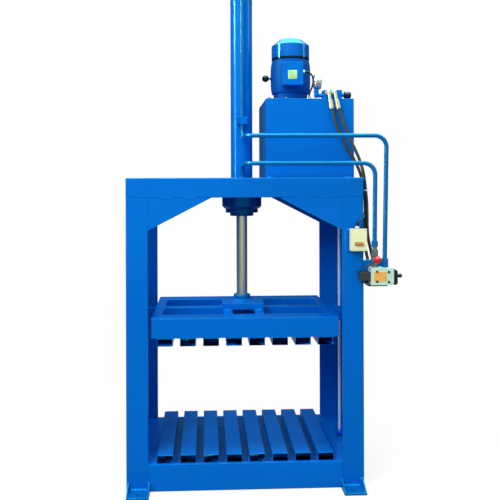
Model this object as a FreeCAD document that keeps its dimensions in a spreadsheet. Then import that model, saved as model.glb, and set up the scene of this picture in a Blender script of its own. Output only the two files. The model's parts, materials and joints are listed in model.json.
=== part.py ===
"""Vertical hydraulic press baler for cardboard and plastic bales.

A welded channel frame carries a hydraulic cylinder on its crown.  The rod drives a welded
platen with strap gaps down onto a slatted bed.  A motor and pump stand on the oil tank beside
the cylinder, and a hand lever valve on the right post steers the ram.

Frame of reference: millimetres, +Z up, X to the right, the front faces -Y.  The origin lies on
the floor in the middle of the four anchor holes.  The platen is modelled part way up.
"""
import FreeCAD, Part

import math
import os
import re

import Sketcher
from FreeCAD import Placement, Rotation, Vector

# --------------------------------------------------------------------------------------------
# Driving dimensions, in millimetres
# --------------------------------------------------------------------------------------------

SIZES = {
    # Welded frame
    "frame_width": 1200.0,
    "frame_depth": 640.0,
    "frame_height": 1570.0,
    "post_face": 110.0,
    "post_wall": 10.0,
    "post_bend": 6.0,
    "beam_height": 100.0,
    "beam_flange": 70.0,
    "beam_wall": 8.0,
    "gusset_length": 320.0,
    "gusset_height": 165.0,
    "gusset_wall": 10.0,
    "base_height": 127.0,
    "base_flange": 60.0,
    "base_wall": 8.0,
    "deck_wall": 8.0,
    # Slats of the bed and of the platen
    "slat_width": 80.0,
    "slat_height": 40.0,
    "slat_wall": 4.0,
    "slat_margin": 27.6,
    "slat_setback": 16.0,
    # Anchor feet
    "anchor_inset": 63.0,
    "anchor_reach": 45.0,
    "anchor_bore": 18.0,
    "foot_width": 112.0,
    "foot_length": 83.0,
    "foot_wall": 12.0,
    "fin_wall": 8.0,
    "fin_height": 54.0,
    # Guide rods of the platen
    "guide_inset": 57.0,
    "guide_diameter": 16.0,
    "guide_foot_rise": 15.0,
    "guide_head_drop": 5.0,
    "guide_bracket_width": 50.0,
    "guide_bracket_wall": 15.0,
    # Crown that carries the cylinder and the oil tank
    "cross_height": 70.0,
    "cross_width": 50.0,
    "cross_wall": 8.0,
    "cross_gap": 190.0,
    "bearer_inset": 80.0,
    "mount_width": 270.0,
    "mount_depth": 220.0,
    "mount_wall": 30.0,
    # Hydraulic cylinder
    "bore_diameter": 100.0,
    "barrel_diameter": 120.0,
    "barrel_length": 1115.0,
    "barrel_seat_depth": 40.0,
    "cap_height": 80.0,
    "cap_spigot": 25.0,
    "cap_chamfer": 6.0,
    "cylinder_flange_diameter": 217.0,
    "cylinder_flange_height": 54.0,
    "cone_diameter": 190.0,
    "cone_height": 13.0,
    "gland_diameter": 178.0,
    "gland_height": 22.0,
    "gland_nut_diameter": 129.0,
    "gland_nut_height": 18.0,
    "gland_spigot": 60.0,
    "bolt_circle": 168.0,
    "bolt_diameter": 16.0,
    "bolt_head_width": 24.0,
    "bolt_head_height": 10.0,
    "bolt_thread_depth": 32.0,
    "port_bore": 12.0,
    # Ram and platen
    "rod_diameter": 60.0,
    "rod_length": 1123.0,
    "spigot_diameter": 40.0,
    "piston_height": 60.0,
    "seal_groove_width": 8.0,
    "seal_groove_depth": 4.0,
    "platen_rest": 762.0,
    "platen_gap": 15.0,
    "platen_setback": 12.0,
    "platen_height": 100.0,
    "end_tube_width": 100.0,
    "inner_tube_width": 50.0,
    "platen_wall": 5.0,
    "cross_tube_offset": 83.0,
    "seat_width": 224.0,
    "seat_depth": 216.0,
    "seat_height": 35.0,
    "boss_diameter": 93.0,
    "boss_height": 33.0,
    "boss_chamfer": 4.0,
    "lug_sleeve_diameter": 34.0,
    "lug_height": 80.0,
    "lug_wall": 12.0,
    "lug_drop": 2.0,
    # Oil tank and electric motor
    "tank_left": 116.0,
    "tank_side_gap": 23.0,
    "tank_depth": 432.0,
    "tank_height": 406.0,
    "tank_wall": 4.0,
    "lid_wall": 8.0,
    "lid_bore": 36.0,
    "motor_offset": 157.0,
    "motor_flange_diameter": 207.0,
    "motor_flange_height": 18.0,
    "motor_neck_diameter": 186.0,
    "motor_neck_height": 33.0,
    "motor_end_diameter": 206.0,
    "motor_diameter": 219.0,
    "motor_length": 180.0,
    "motor_gap": 7.0,
    "motor_shoulder_diameter": 196.0,
    "cowl_diameter": 208.0,
    "cowl_height": 113.0,
    "cowl_chamfer_width": 45.0,
    "cowl_chamfer_height": 35.0,
    "cowl_wall": 2.0,
    "shaft_diameter": 28.0,
    "fan_diameter": 180.0,
    "fan_height": 34.0,
    "fan_hub_diameter": 60.0,
    "pump_diameter": 110.0,
    "pump_height": 150.0,
    "coupling_depth": 60.0,
    "terminal_width": 109.0,
    "terminal_height": 122.0,
    "terminal_depth": 44.0,
    "terminal_rise": 79.0,
    "terminal_wall": 4.0,
    "terminal_lid": 8.0,
    "terminal_seat": 113.0,
    "terminal_shift": 7.5,
    "terminal_seat_edge": 10.0,
    "terminal_corner": 6.0,
    "side_ball_diameter": 38.0,
    "side_ball_rise": 138.0,
    "side_ball_offset": 139.0,
    "side_stem_diameter": 9.0,
    "stem_seat_wall": 4.0,
    # Valve block, gauge and relief knob on the tank
    "block_offset": 304.0,
    "block_width": 98.0,
    "block_depth": 60.0,
    "block_height": 46.0,
    "block_setback": 11.0,
    "neck_diameter": 20.0,
    "neck_length": 15.0,
    "neck_rise": 23.0,
    "relief_diameter": 36.0,
    "relief_length": 36.0,
    "relief_stem_diameter": 10.0,
    "relief_stem_length": 24.0,
    "relief_chamfer": 3.0,
    "gauge_offset": 34.0,
    "gauge_rise": 91.0,
    "gauge_diameter": 75.0,
    "gauge_length": 34.0,
    "gauge_rim": 4.0,
    "gauge_recess": 8.0,
    "gauge_seat": 12.5,
    "gauge_elbow_diameter": 26.0,
    "gauge_elbow_rise": 20.5,
    "gauge_elbow_height": 53.0,
    "gauge_boss_diameter": 14.0,
    "pointer_length": 24.0,
    "pointer_width": 3.0,
    "pointer_wall": 1.5,
    "pointer_hub": 8.0,
    "pointer_shaft": 4.0,
    # Hoses, pipes and cable
    "hose_diameter": 16.0,
    "ferrule_diameter": 23.0,
    "ferrule_length": 46.0,
    "fitting_diameter": 18.0,
    "fitting_nut": 24.0,
    "pipe_diameter": 22.0,
    "pipe_bore": 16.0,
    "pipe_bend": 58.0,
    "cap_nut_width": 29.0,
    "cap_nut_height": 44.0,
    "rod_nut_width": 29.0,
    "rod_nut_height": 28.0,
    "adapter_height": 103.4,
    "adapter_neck": 15.0,
    "adapter_neck_diameter": 22.0,
    "hose_standoff": 40.0,
    "hose_drop": 56.0,
    "hose_port_rise": 9.0,
    "pressure_port": 19.0,
    "pressure_lean": 35.0,
    "return_port": 50.0,
    "return_lean": 70.0,
    "ferrule_rise": 16.0,
    "supply_nut": 22.0,
    "elbow_width": 34.0,
    "cap_pipe_standoff": 74.0,
    "rod_pipe_standoff": 92.0,
    "cap_port_rise": 45.0,
    "rod_port_rise": 60.0,
    "cap_pipe_level": 1779.5,
    "rod_pipe_level": 1641.0,
    "cap_drop_offset": 77.0,
    "cap_drop_lean": 11.0,
    "rod_drop_offset": 26.0,
    "rod_drop_lean": 4.0,
    "clamp_level": 1880.0,
    "clamp_width": 60.0,
    "clamp_height": 40.0,
    "clamp_cover": 12.0,
    "cable_diameter": 9.0,
    # Hand valve on the right post
    "valve_offset": 21.0,
    "valve_width": 114.0,
    "valve_depth": 66.0,
    "valve_height": 85.6,
    "valve_rise": 1033.0,
    "valve_corner": 14.0,
    "spool_rise": 43.0,
    "spool_diameter": 16.0,
    "spool_waist": 11.0,
    "spool_stroke": 8.0,
    "spool_overrun": 7.0,
    "spool_tail": 11.0,
    "end_cap_length": 18.6,
    "end_cap_height": 75.0,
    "end_cap_rise": 1.5,
    "end_cap_corner": 12.0,
    "end_stub_diameter": 20.0,
    "end_stub_length": 30.0,
    "stub_chamfer": 3.0,
    "lever_box_width": 54.0,
    "lever_box_depth": 44.0,
    "lever_box_height": 43.0,
    "lever_box_rise": 22.0,
    "lever_box_wall": 6.0,
    "lever_offset": 26.0,
    "lever_pivot_rise": 14.0,
    "lever_pin_diameter": 8.0,
    "lever_diameter": 10.0,
    "lever_neck": 24.0,
    "lever_hub_diameter": 14.0,
    "tongue_width": 8.0,
    "lever_reach_x": 50.0,
    "lever_reach_y": 62.0,
    "lever_reach_z": 73.0,
    "lever_knob_diameter": 37.0,
    "bracket_wall": 8.0,
    "bracket_reach": 126.0,
    "bracket_height": 117.0,
    "strap_wall": 9.0,
    "strap_width": 40.0,
    "strap_lift": 17.0,
    "strap_lead": 39.0,
    "strap_bend": 6.0,
    "strap_reach": 88.0,
    "supply_offset": 30.0,
    "supply_pitch": 26.0,
    "supply_rise": 37.0,
    "supply_standoff": 37.0,
    # Motor switch on the right post
    "switch_inset": 78.0,
    "switch_width": 82.5,
    "switch_height": 112.0,
    "switch_depth": 40.0,
    "switch_low": 1202.0,
    "switch_corner": 5.0,
    "switch_plate_width": 92.0,
    "switch_plate_height": 116.0,
    "switch_plate_drop": 9.0,
    "switch_plate_wall": 8.0,
    "toggle_width": 43.5,
    "toggle_height": 13.0,
    "toggle_reach": 12.0,
    "toggle_rise": 35.5,
    "toggle_pin": 6.0,
    "switch_gland_rise": 10.0,
    "gland_nut": 18.0,
    "gland_rise": 14.0,
    # Clearances
    "slide_fit": 0.05,
    "seat_fit": 0.1,
    "air_gap": 0.4,
}

SLATS = 8
FLANGE_BOLTS = 8
FAN_BLADES = 8
COWL_SLOTS = 16

document = FreeCAD.newDocument("Baler")
sheet = document.addObject("Spreadsheet::Sheet", "Sizes")
for row, (alias, number) in enumerate(SIZES.items(), start=1):
    sheet.set("A%d" % row, alias)
    sheet.set("B%d" % row, str(number))
    sheet.setAlias("B%d" % row, alias)
document.recompute()

nodes = []

# --------------------------------------------------------------------------------------------
# Modelling helpers: every length is an expression on the sheet
# --------------------------------------------------------------------------------------------

TURNS = {
    "X": Rotation(Vector(0, 1, 0), 90),
    "Y": Rotation(Vector(1, 0, 0), -90),
    "Z": Rotation(),
}


def sized(text):
    """Return an expression in which each word of SIZES is read from the sheet."""
    return re.sub(
        r"[a-z_]+",
        lambda word: "Sizes." + word[0] if word[0] in SIZES else word[0],
        str(text),
    )


def bind(feature, **lengths):
    """Bind properties of a feature to expressions of the sizes."""
    for name, text in lengths.items():
        feature.setExpression(name, sized(text))
    return feature


def place(feature, x="0", y="0", z="0"):
    """Bind the position of a feature and leave its rotation as it is."""
    for axis, text in zip("xyz", (x, y, z)):
        feature.setExpression(".Placement.Base." + axis, sized(text))
    return feature


probe = document.addObject("Part::Vertex", "Probe")


def number(text):
    """Return the value that an expression of the sizes has now."""
    bind(probe, X=text)
    probe.recompute()
    return probe.X.Value


def point(x, y, z):
    """Return a vector from three expressions of the sizes."""
    return Vector(number(x), number(y), number(z))


def node(label, feature):
    """Name a finished sub-part and keep it for the export."""
    feature.Label = label
    nodes.append(feature)
    return feature


def box(name, x, y, z):
    """Make a box from three pairs (low, high)."""
    solid = document.addObject("Part::Box", name)
    spans = ["(%s) - (%s)" % (high, low) for low, high in (x, y, z)]
    bind(solid, Length=spans[0], Width=spans[1], Height=spans[2])
    return place(solid, x[0], y[0], z[0])


def rod(name, axis, diameter, low, high, a, b):
    """Make a cylinder along an axis from low to high; a and b place its other two axes."""
    solid = document.addObject("Part::Cylinder", name)
    solid.Placement = Placement(Vector(), TURNS[axis])
    bind(solid, Radius="(%s) / 2" % diameter, Height="(%s) - (%s)" % (high, low))
    spots = {"X": (low, a, b), "Y": (a, low, b), "Z": (a, b, low)}
    return place(solid, *spots[axis])


def ball(name, diameter, x, y, z):
    """Make a sphere."""
    solid = document.addObject("Part::Sphere", name)
    bind(solid, Radius="(%s) / 2" % diameter)
    return place(solid, x, y, z)


def fuse(name, *solids):
    """Join solids into one."""
    joined = document.addObject("Part::MultiFuse", name)
    joined.Shapes = list(solids)
    joined.Refine = True
    return joined


def cut(name, base, *tools):
    """Take one or more tools away from a solid."""
    result = document.addObject("Part::Cut", name)
    result.Base = base
    result.Tool = tools[0] if len(tools) == 1 else fuse(name + "Tools", *tools)
    result.Refine = True
    return result


def mirrored(name, source, axis):
    """Mirror a solid across the middle plane that is square to an axis."""
    copy = document.addObject("Part::Mirroring", name)
    copy.Source = source
    copy.Normal = {"X": Vector(1, 0, 0), "Y": Vector(0, 1, 0)}[axis]
    return copy


def group(name, *solids):
    """Keep separate solids of one kind together."""
    compound = document.addObject("Part::Compound", name)
    compound.Links = list(solids)
    return compound


def both_sides(name, source, axis):
    """Keep a solid and its mirror image together."""
    return group(name, source, mirrored(name + "Mirror", source, axis))


def four_corners(name, source):
    """Keep a solid and its images in the other three quadrants together."""
    across = mirrored(name + "Across", source, "X")
    behind = mirrored(name + "Behind", source, "Y")
    opposite = mirrored(name + "Opposite", across, "Y")
    return group(name, source, across, behind, opposite)


def new_body(name):
    """Start a PartDesign body that may hold a pattern of separate solids."""
    body = document.addObject("PartDesign::Body", name)
    body.AllowCompound = True
    return body


def datum(body, role):
    """Return one of the body's own origin planes or axes."""
    return next(item for item in body.Origin.OriginFeatures if item.Role == role)


def rectangle(left, right, low, high):
    """Return the four corners of a rectangle."""
    return [(left, low), (right, low), (right, high), (left, high)]


def disc(diameter, u="0", v="0"):
    """Return a circle for a sketch."""
    return {"diameter": diameter, "u": u, "v": v}


def constrain(sketch, kind, geometry, corner, text):
    """Tie one coordinate of a sketch vertex, or a radius, to an expression."""
    if kind == "Radius":
        item = sketch.addConstraint(Sketcher.Constraint(kind, geometry, 1.0))
    else:
        item = sketch.addConstraint(Sketcher.Constraint(kind, -1, 1, geometry, corner, 1.0))
    sketch.setExpression("Constraints[%d]" % item, sized(text))


def draw_circle(sketch, circle):
    """Draw a bound circle."""
    geometry = sketch.addGeometry(Part.Circle(Vector(1, 1, 0), Vector(0, 0, 1), 1))
    constrain(sketch, "Radius", geometry, 0, "(%s) / 2" % circle["diameter"])
    constrain(sketch, "DistanceX", geometry, 3, circle["u"])
    constrain(sketch, "DistanceY", geometry, 3, circle["v"])


def draw_polygon(sketch, corners):
    """Draw a closed polygon whose corners are all bound."""
    count = len(corners)
    turn = 2 * math.pi / count
    spots = [Vector(math.cos(turn * i), math.sin(turn * i), 0) for i in range(count)]
    first = sketch.GeometryCount
    for i in range(count):
        sketch.addGeometry(Part.LineSegment(spots[i], spots[(i + 1) % count]))
    for i in range(count):
        after = first + (i + 1) % count
        sketch.addConstraint(Sketcher.Constraint("Coincident", first + i, 2, after, 1))
    for i, (u, v) in enumerate(corners):
        constrain(sketch, "DistanceX", first + i, 1, u)
        constrain(sketch, "DistanceY", first + i, 1, v)


def draw(body, plane, loops, level="0"):
    """Sketch closed loops parallel to an origin plane, at a level along its axis."""
    sketch = body.newObject("Sketcher::SketchObject", body.Name + "Sketch")
    sketch.AttachmentSupport = [(datum(body, plane + "_Plane"), "")]
    sketch.MapMode = "FlatFace"
    sign = "-" if plane == "XZ" else ""
    sketch.setExpression(".AttachmentOffset.Base.z", sized("%s(%s)" % (sign, level)))
    for loop in loops:
        if isinstance(loop, dict):
            draw_circle(sketch, loop)
        else:
            draw_polygon(sketch, loop)
    return sketch


def extrude(body, plane, loops, low, high, cutting=False):
    """Pad or pocket loops from low to high along the axis that is square to the plane."""
    kind = "Pocket" if cutting else "Pad"
    sketch = draw(body, plane, loops, low)
    feature = body.newObject("PartDesign::" + kind, body.Name + kind)
    feature.Profile = sketch
    feature.Reversed = (plane == "XZ") != cutting
    return bind(feature, Length="(%s) - (%s)" % (high, low))


def prism(name, plane, loops, low, high):
    """Make a body from one padded sketch."""
    body = new_body(name)
    extrude(body, plane, loops, low, high)
    return body


def revolve(body, axis, profile):
    """Revolve a profile of (along, radius) corners about an axis of the body."""
    if axis == "Z":
        loops = [[(radius, along) for along, radius in profile]]
        sketch = draw(body, "XZ", loops)
        line = "V_Axis"
    else:
        sketch = draw(body, "XZ" if axis == "X" else "YZ", [profile])
        line = "H_Axis"
    feature = body.newObject("PartDesign::Revolution", body.Name + "Revolution")
    feature.Profile = sketch
    feature.ReferenceAxis = (sketch, [line])
    feature.Angle = 360
    return feature


def turned(name, axis, profile, x="0", y="0", z="0"):
    """Make a turned body about an axis through a point."""
    body = new_body(name)
    revolve(body, axis, profile)
    return place(body, x, y, z)


def ring_pattern(body, features, count):
    """Repeat features round the body's Z axis."""
    pattern = body.newObject("PartDesign::PolarPattern", body.Name + "Ring")
    pattern.Originals = features
    pattern.Axis = (datum(body, "Z_Axis"), [""])
    pattern.Angle = 360
    pattern.Occurrences = count
    body.Tip = pattern
    return pattern


def row_pattern(body, feature, pitch, count):
    """Repeat a feature in a row along the body's X axis."""
    pattern = body.newObject("PartDesign::LinearPattern", body.Name + "Row")
    pattern.Originals = [feature]
    pattern.Direction = (datum(body, "X_Axis"), [""])
    pattern.Occurrences = count
    bind(pattern, Length="(%s) * %d" % (pitch, count - 1))
    body.Tip = pattern
    return pattern


def straight_edges(shape, axis, keep):
    """Name the straight edges along an axis whose middle passes a test."""
    names = []
    for i, edge in enumerate(shape.Edges, start=1):
        if edge.Curve.TypeId != "Part::GeomLine":
            continue
        if abs(getattr(edge.tangentAt(edge.FirstParameter), axis)) > 0.999 and keep(edge.CenterOfMass):
            names.append("Edge%d" % i)
    return names


def rounded(body, radius, axis, keep=lambda middle: True, kind="Fillet"):
    """Round or bevel the chosen straight edges of a body."""
    document.recompute()
    base = body.Tip
    names = straight_edges(base.Shape, axis, keep)
    feature = body.newObject("PartDesign::" + kind, body.Name + kind)
    feature.Base = (base, names)
    return bind(feature, **{"Radius" if kind == "Fillet" else "Size": radius})


def near(value, text):
    """Tell whether a value lies at the place that an expression gives."""
    return abs(value - number(text)) < 0.01

# --------------------------------------------------------------------------------------------
# Levels and planes that several pieces share
# --------------------------------------------------------------------------------------------

SIDE = "(frame_width / 2)"
WEB_INNER = "(frame_width / 2 - post_wall)"
POST_INNER = "(frame_width / 2 - post_face)"
FRONT = "(-frame_depth / 2)"
BACK = "(frame_depth / 2)"
BEAM_LOW = "(frame_height - beam_height)"
BEAM_INNER = "(frame_depth / 2 - beam_flange)"
BED = "(base_height + deck_wall)"
GUIDE_X = "(frame_width / 2 - guide_inset)"
PLATEN_SIDE = "(frame_width / 2 - post_face - platen_gap)"
PLATEN_BACK = "(frame_depth / 2 - platen_setback)"
CROSS_LOW = "(frame_height - cross_height)"
FLANGE_TOP = "(frame_height - cross_height - mount_wall)"
CONE_TOP = "(%s - cylinder_flange_height)" % FLANGE_TOP
CONE_LOW = "(%s - cone_height)" % CONE_TOP
GLAND_LOW = "(%s - gland_height)" % CONE_LOW
BARREL_LOW = "(%s - barrel_seat_depth)" % FLANGE_TOP
BARREL_TOP = "(%s + barrel_length)" % BARREL_LOW
CAP_TOP = "(%s + cap_height)" % BARREL_TOP
BARREL_FRONT = "(-barrel_diameter / 2)"
BARREL_BORE_HOLE = "(barrel_diameter + 2 * seat_fit)"
PLATEN_TOP = "(platen_rest + platen_height)"
SEAT_TOP = "(%s + seat_height)" % PLATEN_TOP
PISTON_LOW = "(%s + rod_length)" % SEAT_TOP
CAP_PORT = "(%s + cap_port_rise)" % BARREL_TOP
ROD_PORT = "(%s + rod_port_rise)" % FLANGE_TOP


# --------------------------------------------------------------------------------------------
# Welded frame
# --------------------------------------------------------------------------------------------

def make_side_channels():
    """Fold the two posts from one wide channel each; their webs reach up between the beams."""
    channel = [
        ("-frame_width / 2", FRONT),
        ("-" + POST_INNER, FRONT),
        ("-" + POST_INNER, "%s + post_wall" % FRONT),
        ("-" + WEB_INNER, "%s + post_wall" % FRONT),
        ("-" + WEB_INNER, "%s - post_wall" % BACK),
        ("-" + POST_INNER, "%s - post_wall" % BACK),
        ("-" + POST_INNER, BACK),
        ("-frame_width / 2", BACK),
    ]
    left = prism("LeftSideChannel", "XY", [channel], "0", BEAM_LOW)
    rounded(left, "post_bend", "z", lambda middle: near(middle.x, "-frame_width / 2"))
    tongue = rectangle("-frame_width / 2", "-" + WEB_INNER, "%s + beam_wall" % FRONT, "%s - beam_wall" % BACK)
    extrude(left, "XY", [tongue], BEAM_LOW, "frame_height")
    node("left_side_channel", left)
    node("right_side_channel", mirrored("RightSideChannel", left, "X"))


def make_top_beams():
    """Fold the front and back beams, whose webs cover the ends of the side channels."""
    channel = [
        (FRONT, BEAM_LOW),
        ("-" + BEAM_INNER, BEAM_LOW),
        ("-" + BEAM_INNER, "%s + beam_wall" % BEAM_LOW),
        ("%s + beam_wall" % FRONT, "%s + beam_wall" % BEAM_LOW),
        ("%s + beam_wall" % FRONT, "frame_height - beam_wall"),
        ("-" + BEAM_INNER, "frame_height - beam_wall"),
        ("-" + BEAM_INNER, "frame_height"),
        (FRONT, "frame_height"),
    ]
    beam = prism("TopBeam", "YZ", [channel], "-" + WEB_INNER, WEB_INNER)
    web = rectangle(FRONT, "%s + beam_wall" % FRONT, BEAM_LOW, "frame_height")
    extrude(beam, "YZ", [web], "-frame_width / 2", SIDE)
    rounded(beam, "post_bend", "x", lambda middle: near(middle.y, FRONT) and near(middle.z, "frame_height"))
    node("top_beams", both_sides("TopBeams", beam, "Y"))


def make_corner_gussets():
    """Cut the four triangular plates that stiffen the corners under the top beams."""
    triangle = [
        (POST_INNER, BEAM_LOW),
        (POST_INNER, "%s - gusset_height" % BEAM_LOW),
        ("%s - gusset_length" % POST_INNER, BEAM_LOW),
    ]
    gusset = prism("Gusset", "XZ", [triangle], FRONT, "%s + gusset_wall" % FRONT)
    node("corner_gussets", four_corners("CornerGussets", gusset))


def make_base_beams():
    """Fold the front and back beams of the base, between the posts."""
    channel = [
        (FRONT, "0"),
        ("%s + base_flange" % FRONT, "0"),
        ("%s + base_flange" % FRONT, "base_wall"),
        ("%s + base_wall" % FRONT, "base_wall"),
        ("%s + base_wall" % FRONT, "base_height - base_wall"),
        ("%s + base_flange" % FRONT, "base_height - base_wall"),
        ("%s + base_flange" % FRONT, "base_height"),
        (FRONT, "base_height"),
    ]
    beam = prism("BaseBeam", "YZ", [channel], "-" + POST_INNER, POST_INNER)
    node("base_beams", both_sides("BaseBeams", beam, "Y"))


def make_bed_deck():
    """Cut the deck plate, notched round the flanges of the posts."""
    inside = "(frame_depth / 2 - post_wall)"
    outline = [
        ("-" + POST_INNER, FRONT),
        (POST_INNER, FRONT),
        (POST_INNER, "-" + inside),
        (WEB_INNER, "-" + inside),
        (WEB_INNER, inside),
        (POST_INNER, inside),
        (POST_INNER, BACK),
        ("-" + POST_INNER, BACK),
        ("-" + POST_INNER, inside),
        ("-" + WEB_INNER, inside),
        ("-" + WEB_INNER, "-" + inside),
        ("-" + POST_INNER, "-" + inside),
    ]
    node("bed_deck", prism("BedDeck", "XY", [outline], "base_height", BED))


def make_slats(name, low, half):
    """Lay a row of open rectangular tubes, with gaps for the baling straps."""
    left = "-(%s - slat_margin)" % PLATEN_SIDE
    right = left + " + slat_width"
    pitch = "(2 * (%s - slat_margin) - slat_width) / %d" % (PLATEN_SIDE, SLATS - 1)
    outside = rectangle(left, right, low, "%s + slat_height" % low)
    inside = rectangle(
        left + " + slat_wall", right + " - slat_wall",
        "%s + slat_wall" % low, "%s + slat_height - slat_wall" % low,
    )
    slats = new_body(name)
    tube = extrude(slats, "XZ", [outside, inside], "-(%s)" % half, half)
    row_pattern(slats, tube, pitch, SLATS)
    return slats


def make_anchor_feet():
    """Weld a bored foot plate with two fins to each post flange."""
    middle = "(frame_width / 2 - anchor_inset)"
    left = "%s - foot_width / 2" % middle
    right = "%s + foot_width / 2" % middle
    tip = "%s - foot_length" % FRONT
    foot = new_body("AnchorFoot")
    hole = disc("anchor_bore", middle, "%s - anchor_reach" % FRONT)
    extrude(foot, "XY", [rectangle(left, right, tip, FRONT), hole], "0", "foot_wall")
    fin = [(FRONT, "foot_wall"), (FRONT, "fin_height"), (tip, "foot_wall")]
    extrude(foot, "YZ", [fin], left, left + " + fin_wall")
    extrude(foot, "YZ", [fin], right + " - fin_wall", right)
    node("anchor_feet", four_corners("AnchorFeet", foot))


def make_guide_rods():
    """Weld a round guide rod between two bracket plates on the web of each post."""
    inner = GUIDE_X + " - guide_bracket_width / 2"
    low = "(%s + guide_foot_rise)" % BED
    high = "(%s - guide_head_drop)" % CROSS_LOW
    depth = ("-guide_bracket_width / 2", "guide_bracket_width / 2")
    foot = box("GuideFoot", (inner, WEB_INNER), depth, (low, "%s + guide_bracket_wall" % low))
    head = box("GuideHead", (inner, WEB_INNER), depth, ("%s - guide_bracket_wall" % high, high))
    bar = rod("GuideBar", "Z", "guide_diameter", low, high, GUIDE_X, "0")
    node("guide_rods", both_sides("GuideRods", fuse("GuideRod", foot, head, bar), "X"))


def make_cross_channels():
    """Fold the three channels across the crown: two hold the cylinder, one bears the tank."""
    inner = "cross_gap / 2"
    outer = "cross_gap / 2 + cross_width"
    channel = [
        (inner, CROSS_LOW),
        (outer, CROSS_LOW),
        (outer, "%s + cross_wall" % CROSS_LOW),
        (inner + " + cross_wall", "%s + cross_wall" % CROSS_LOW),
        (inner + " + cross_wall", "frame_height - cross_wall"),
        (outer, "frame_height - cross_wall"),
        (outer, "frame_height"),
        (inner, "frame_height"),
    ]
    right = prism("RightCross", "XZ", [channel], "-" + BEAM_INNER, BEAM_INNER)
    bearer = prism("TankBearer", "XZ", [channel], "-" + BEAM_INNER, BEAM_INNER)
    place(bearer, SIDE + " - bearer_inset - cross_gap / 2")
    node("cross_channels", group("CrossChannels", mirrored("LeftCross", right, "X"), right, bearer))


def make_mount_plate():
    """Bore the thick plate under the crown for the barrel and the flange bolts."""
    plate = new_body("MountPlate")
    outline = rectangle("-mount_width / 2", "mount_width / 2", "-mount_depth / 2", "mount_depth / 2")
    extrude(plate, "XY", [outline, disc(BARREL_BORE_HOLE)], FLANGE_TOP, CROSS_LOW)
    hole = extrude(plate, "XY", [bolt_disc("bolt_diameter + 2 * seat_fit")], FLANGE_TOP, CROSS_LOW, True)
    ring_pattern(plate, [hole], FLANGE_BOLTS)
    node("cylinder_mount_plate", plate)


def bolt_disc(diameter):
    """Return the first circle of the flange bolt ring, half a pitch off the X axis."""
    angle = 180.0 / FLANGE_BOLTS
    return disc(diameter, "bolt_circle / 2 * cos(%s)" % angle, "bolt_circle / 2 * sin(%s)" % angle)


# --------------------------------------------------------------------------------------------
# Hydraulic cylinder, rod and platen
# --------------------------------------------------------------------------------------------

def make_barrel():
    """Turn the barrel and its end cap, each with a drilled port at the front."""
    bore = "bore_diameter / 2"
    outer = "barrel_diameter / 2"
    barrel = turned(
        "Barrel", "Z",
        [(BARREL_LOW, bore), (BARREL_LOW, outer), (BARREL_TOP, outer), (BARREL_TOP, bore)],
    )
    extrude(barrel, "XZ", [disc("port_bore", "0", ROD_PORT)], "-barrel_diameter", "0", True)
    node("cylinder_barrel", barrel)

    spigot = "bore_diameter / 2 - seat_fit"
    cap = turned(
        "EndCap", "Z",
        [
            ("%s - cap_spigot" % BARREL_TOP, "0"),
            ("%s - cap_spigot" % BARREL_TOP, spigot),
            (BARREL_TOP, spigot),
            (BARREL_TOP, outer),
            ("%s - cap_chamfer" % CAP_TOP, outer),
            (CAP_TOP, outer + " - cap_chamfer"),
            (CAP_TOP, "0"),
        ],
    )
    extrude(cap, "XZ", [disc("port_bore", "0", CAP_PORT)], "-barrel_diameter", "0", True)
    extrude(cap, "XY", [disc("port_bore")], "%s - cap_spigot" % BARREL_TOP, CAP_PORT, True)
    node("cylinder_end_cap", cap)


def make_flange():
    """Turn the coned flange that the barrel stands in, and the gland below it."""
    bore = "bore_diameter / 2"
    flange = turned(
        "Flange", "Z",
        [
            (CONE_LOW, bore),
            (CONE_LOW, "cone_diameter / 2"),
            (CONE_TOP, "cylinder_flange_diameter / 2"),
            (FLANGE_TOP, "cylinder_flange_diameter / 2"),
            (FLANGE_TOP, "barrel_diameter / 2 + seat_fit"),
            (BARREL_LOW, "barrel_diameter / 2 + seat_fit"),
            (BARREL_LOW, bore),
        ],
    )
    depth = "%s - bolt_thread_depth" % FLANGE_TOP
    hole = extrude(flange, "XY", [bolt_disc("bolt_diameter + 2 * seat_fit")], depth, FLANGE_TOP, True)
    ring_pattern(flange, [hole], FLANGE_BOLTS)
    node("cylinder_flange", flange)

    rod_bore = "rod_diameter / 2 + slide_fit"
    nut_low = "%s - gland_nut_height" % GLAND_LOW
    gland = turned(
        "Gland", "Z",
        [
            (nut_low, rod_bore),
            (nut_low, "gland_nut_diameter / 2"),
            (GLAND_LOW, "gland_nut_diameter / 2"),
            (GLAND_LOW, "gland_diameter / 2"),
            (CONE_LOW, "gland_diameter / 2"),
            (CONE_LOW, "bore_diameter / 2 - seat_fit"),
            ("%s + gland_spigot" % CONE_LOW, "bore_diameter / 2 - seat_fit"),
            ("%s + gland_spigot" % CONE_LOW, rod_bore),
        ],
    )
    node("cylinder_gland", gland)


def hexagon(width, u="0", v="0"):
    """Return the corners of a hexagon of a given width across its flats."""
    turn = [(math.cos(math.pi * i / 3), math.sin(math.pi * i / 3)) for i in range(6)]
    reach = "(%s) / 2 / cos(30)" % width
    return [("%s + %s * %.6f" % (u, reach, c), "%s + %s * %.6f" % (v, reach, s)) for c, s in turn]


def make_flange_bolts():
    """Form the hexagon bolts that hold the flange to the mount plate from above."""
    bolts = new_body("FlangeBolts")
    circle = bolt_disc("bolt_diameter")
    foot = "%s - bolt_thread_depth" % FLANGE_TOP
    shank = extrude(bolts, "XY", [circle], foot, CROSS_LOW)
    outline = hexagon("bolt_head_width", circle["u"], circle["v"])
    head = extrude(bolts, "XY", [outline], CROSS_LOW, "%s + bolt_head_height" % CROSS_LOW)
    ring_pattern(bolts, [shank, head], FLANGE_BOLTS)
    node("flange_bolts", bolts)


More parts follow.
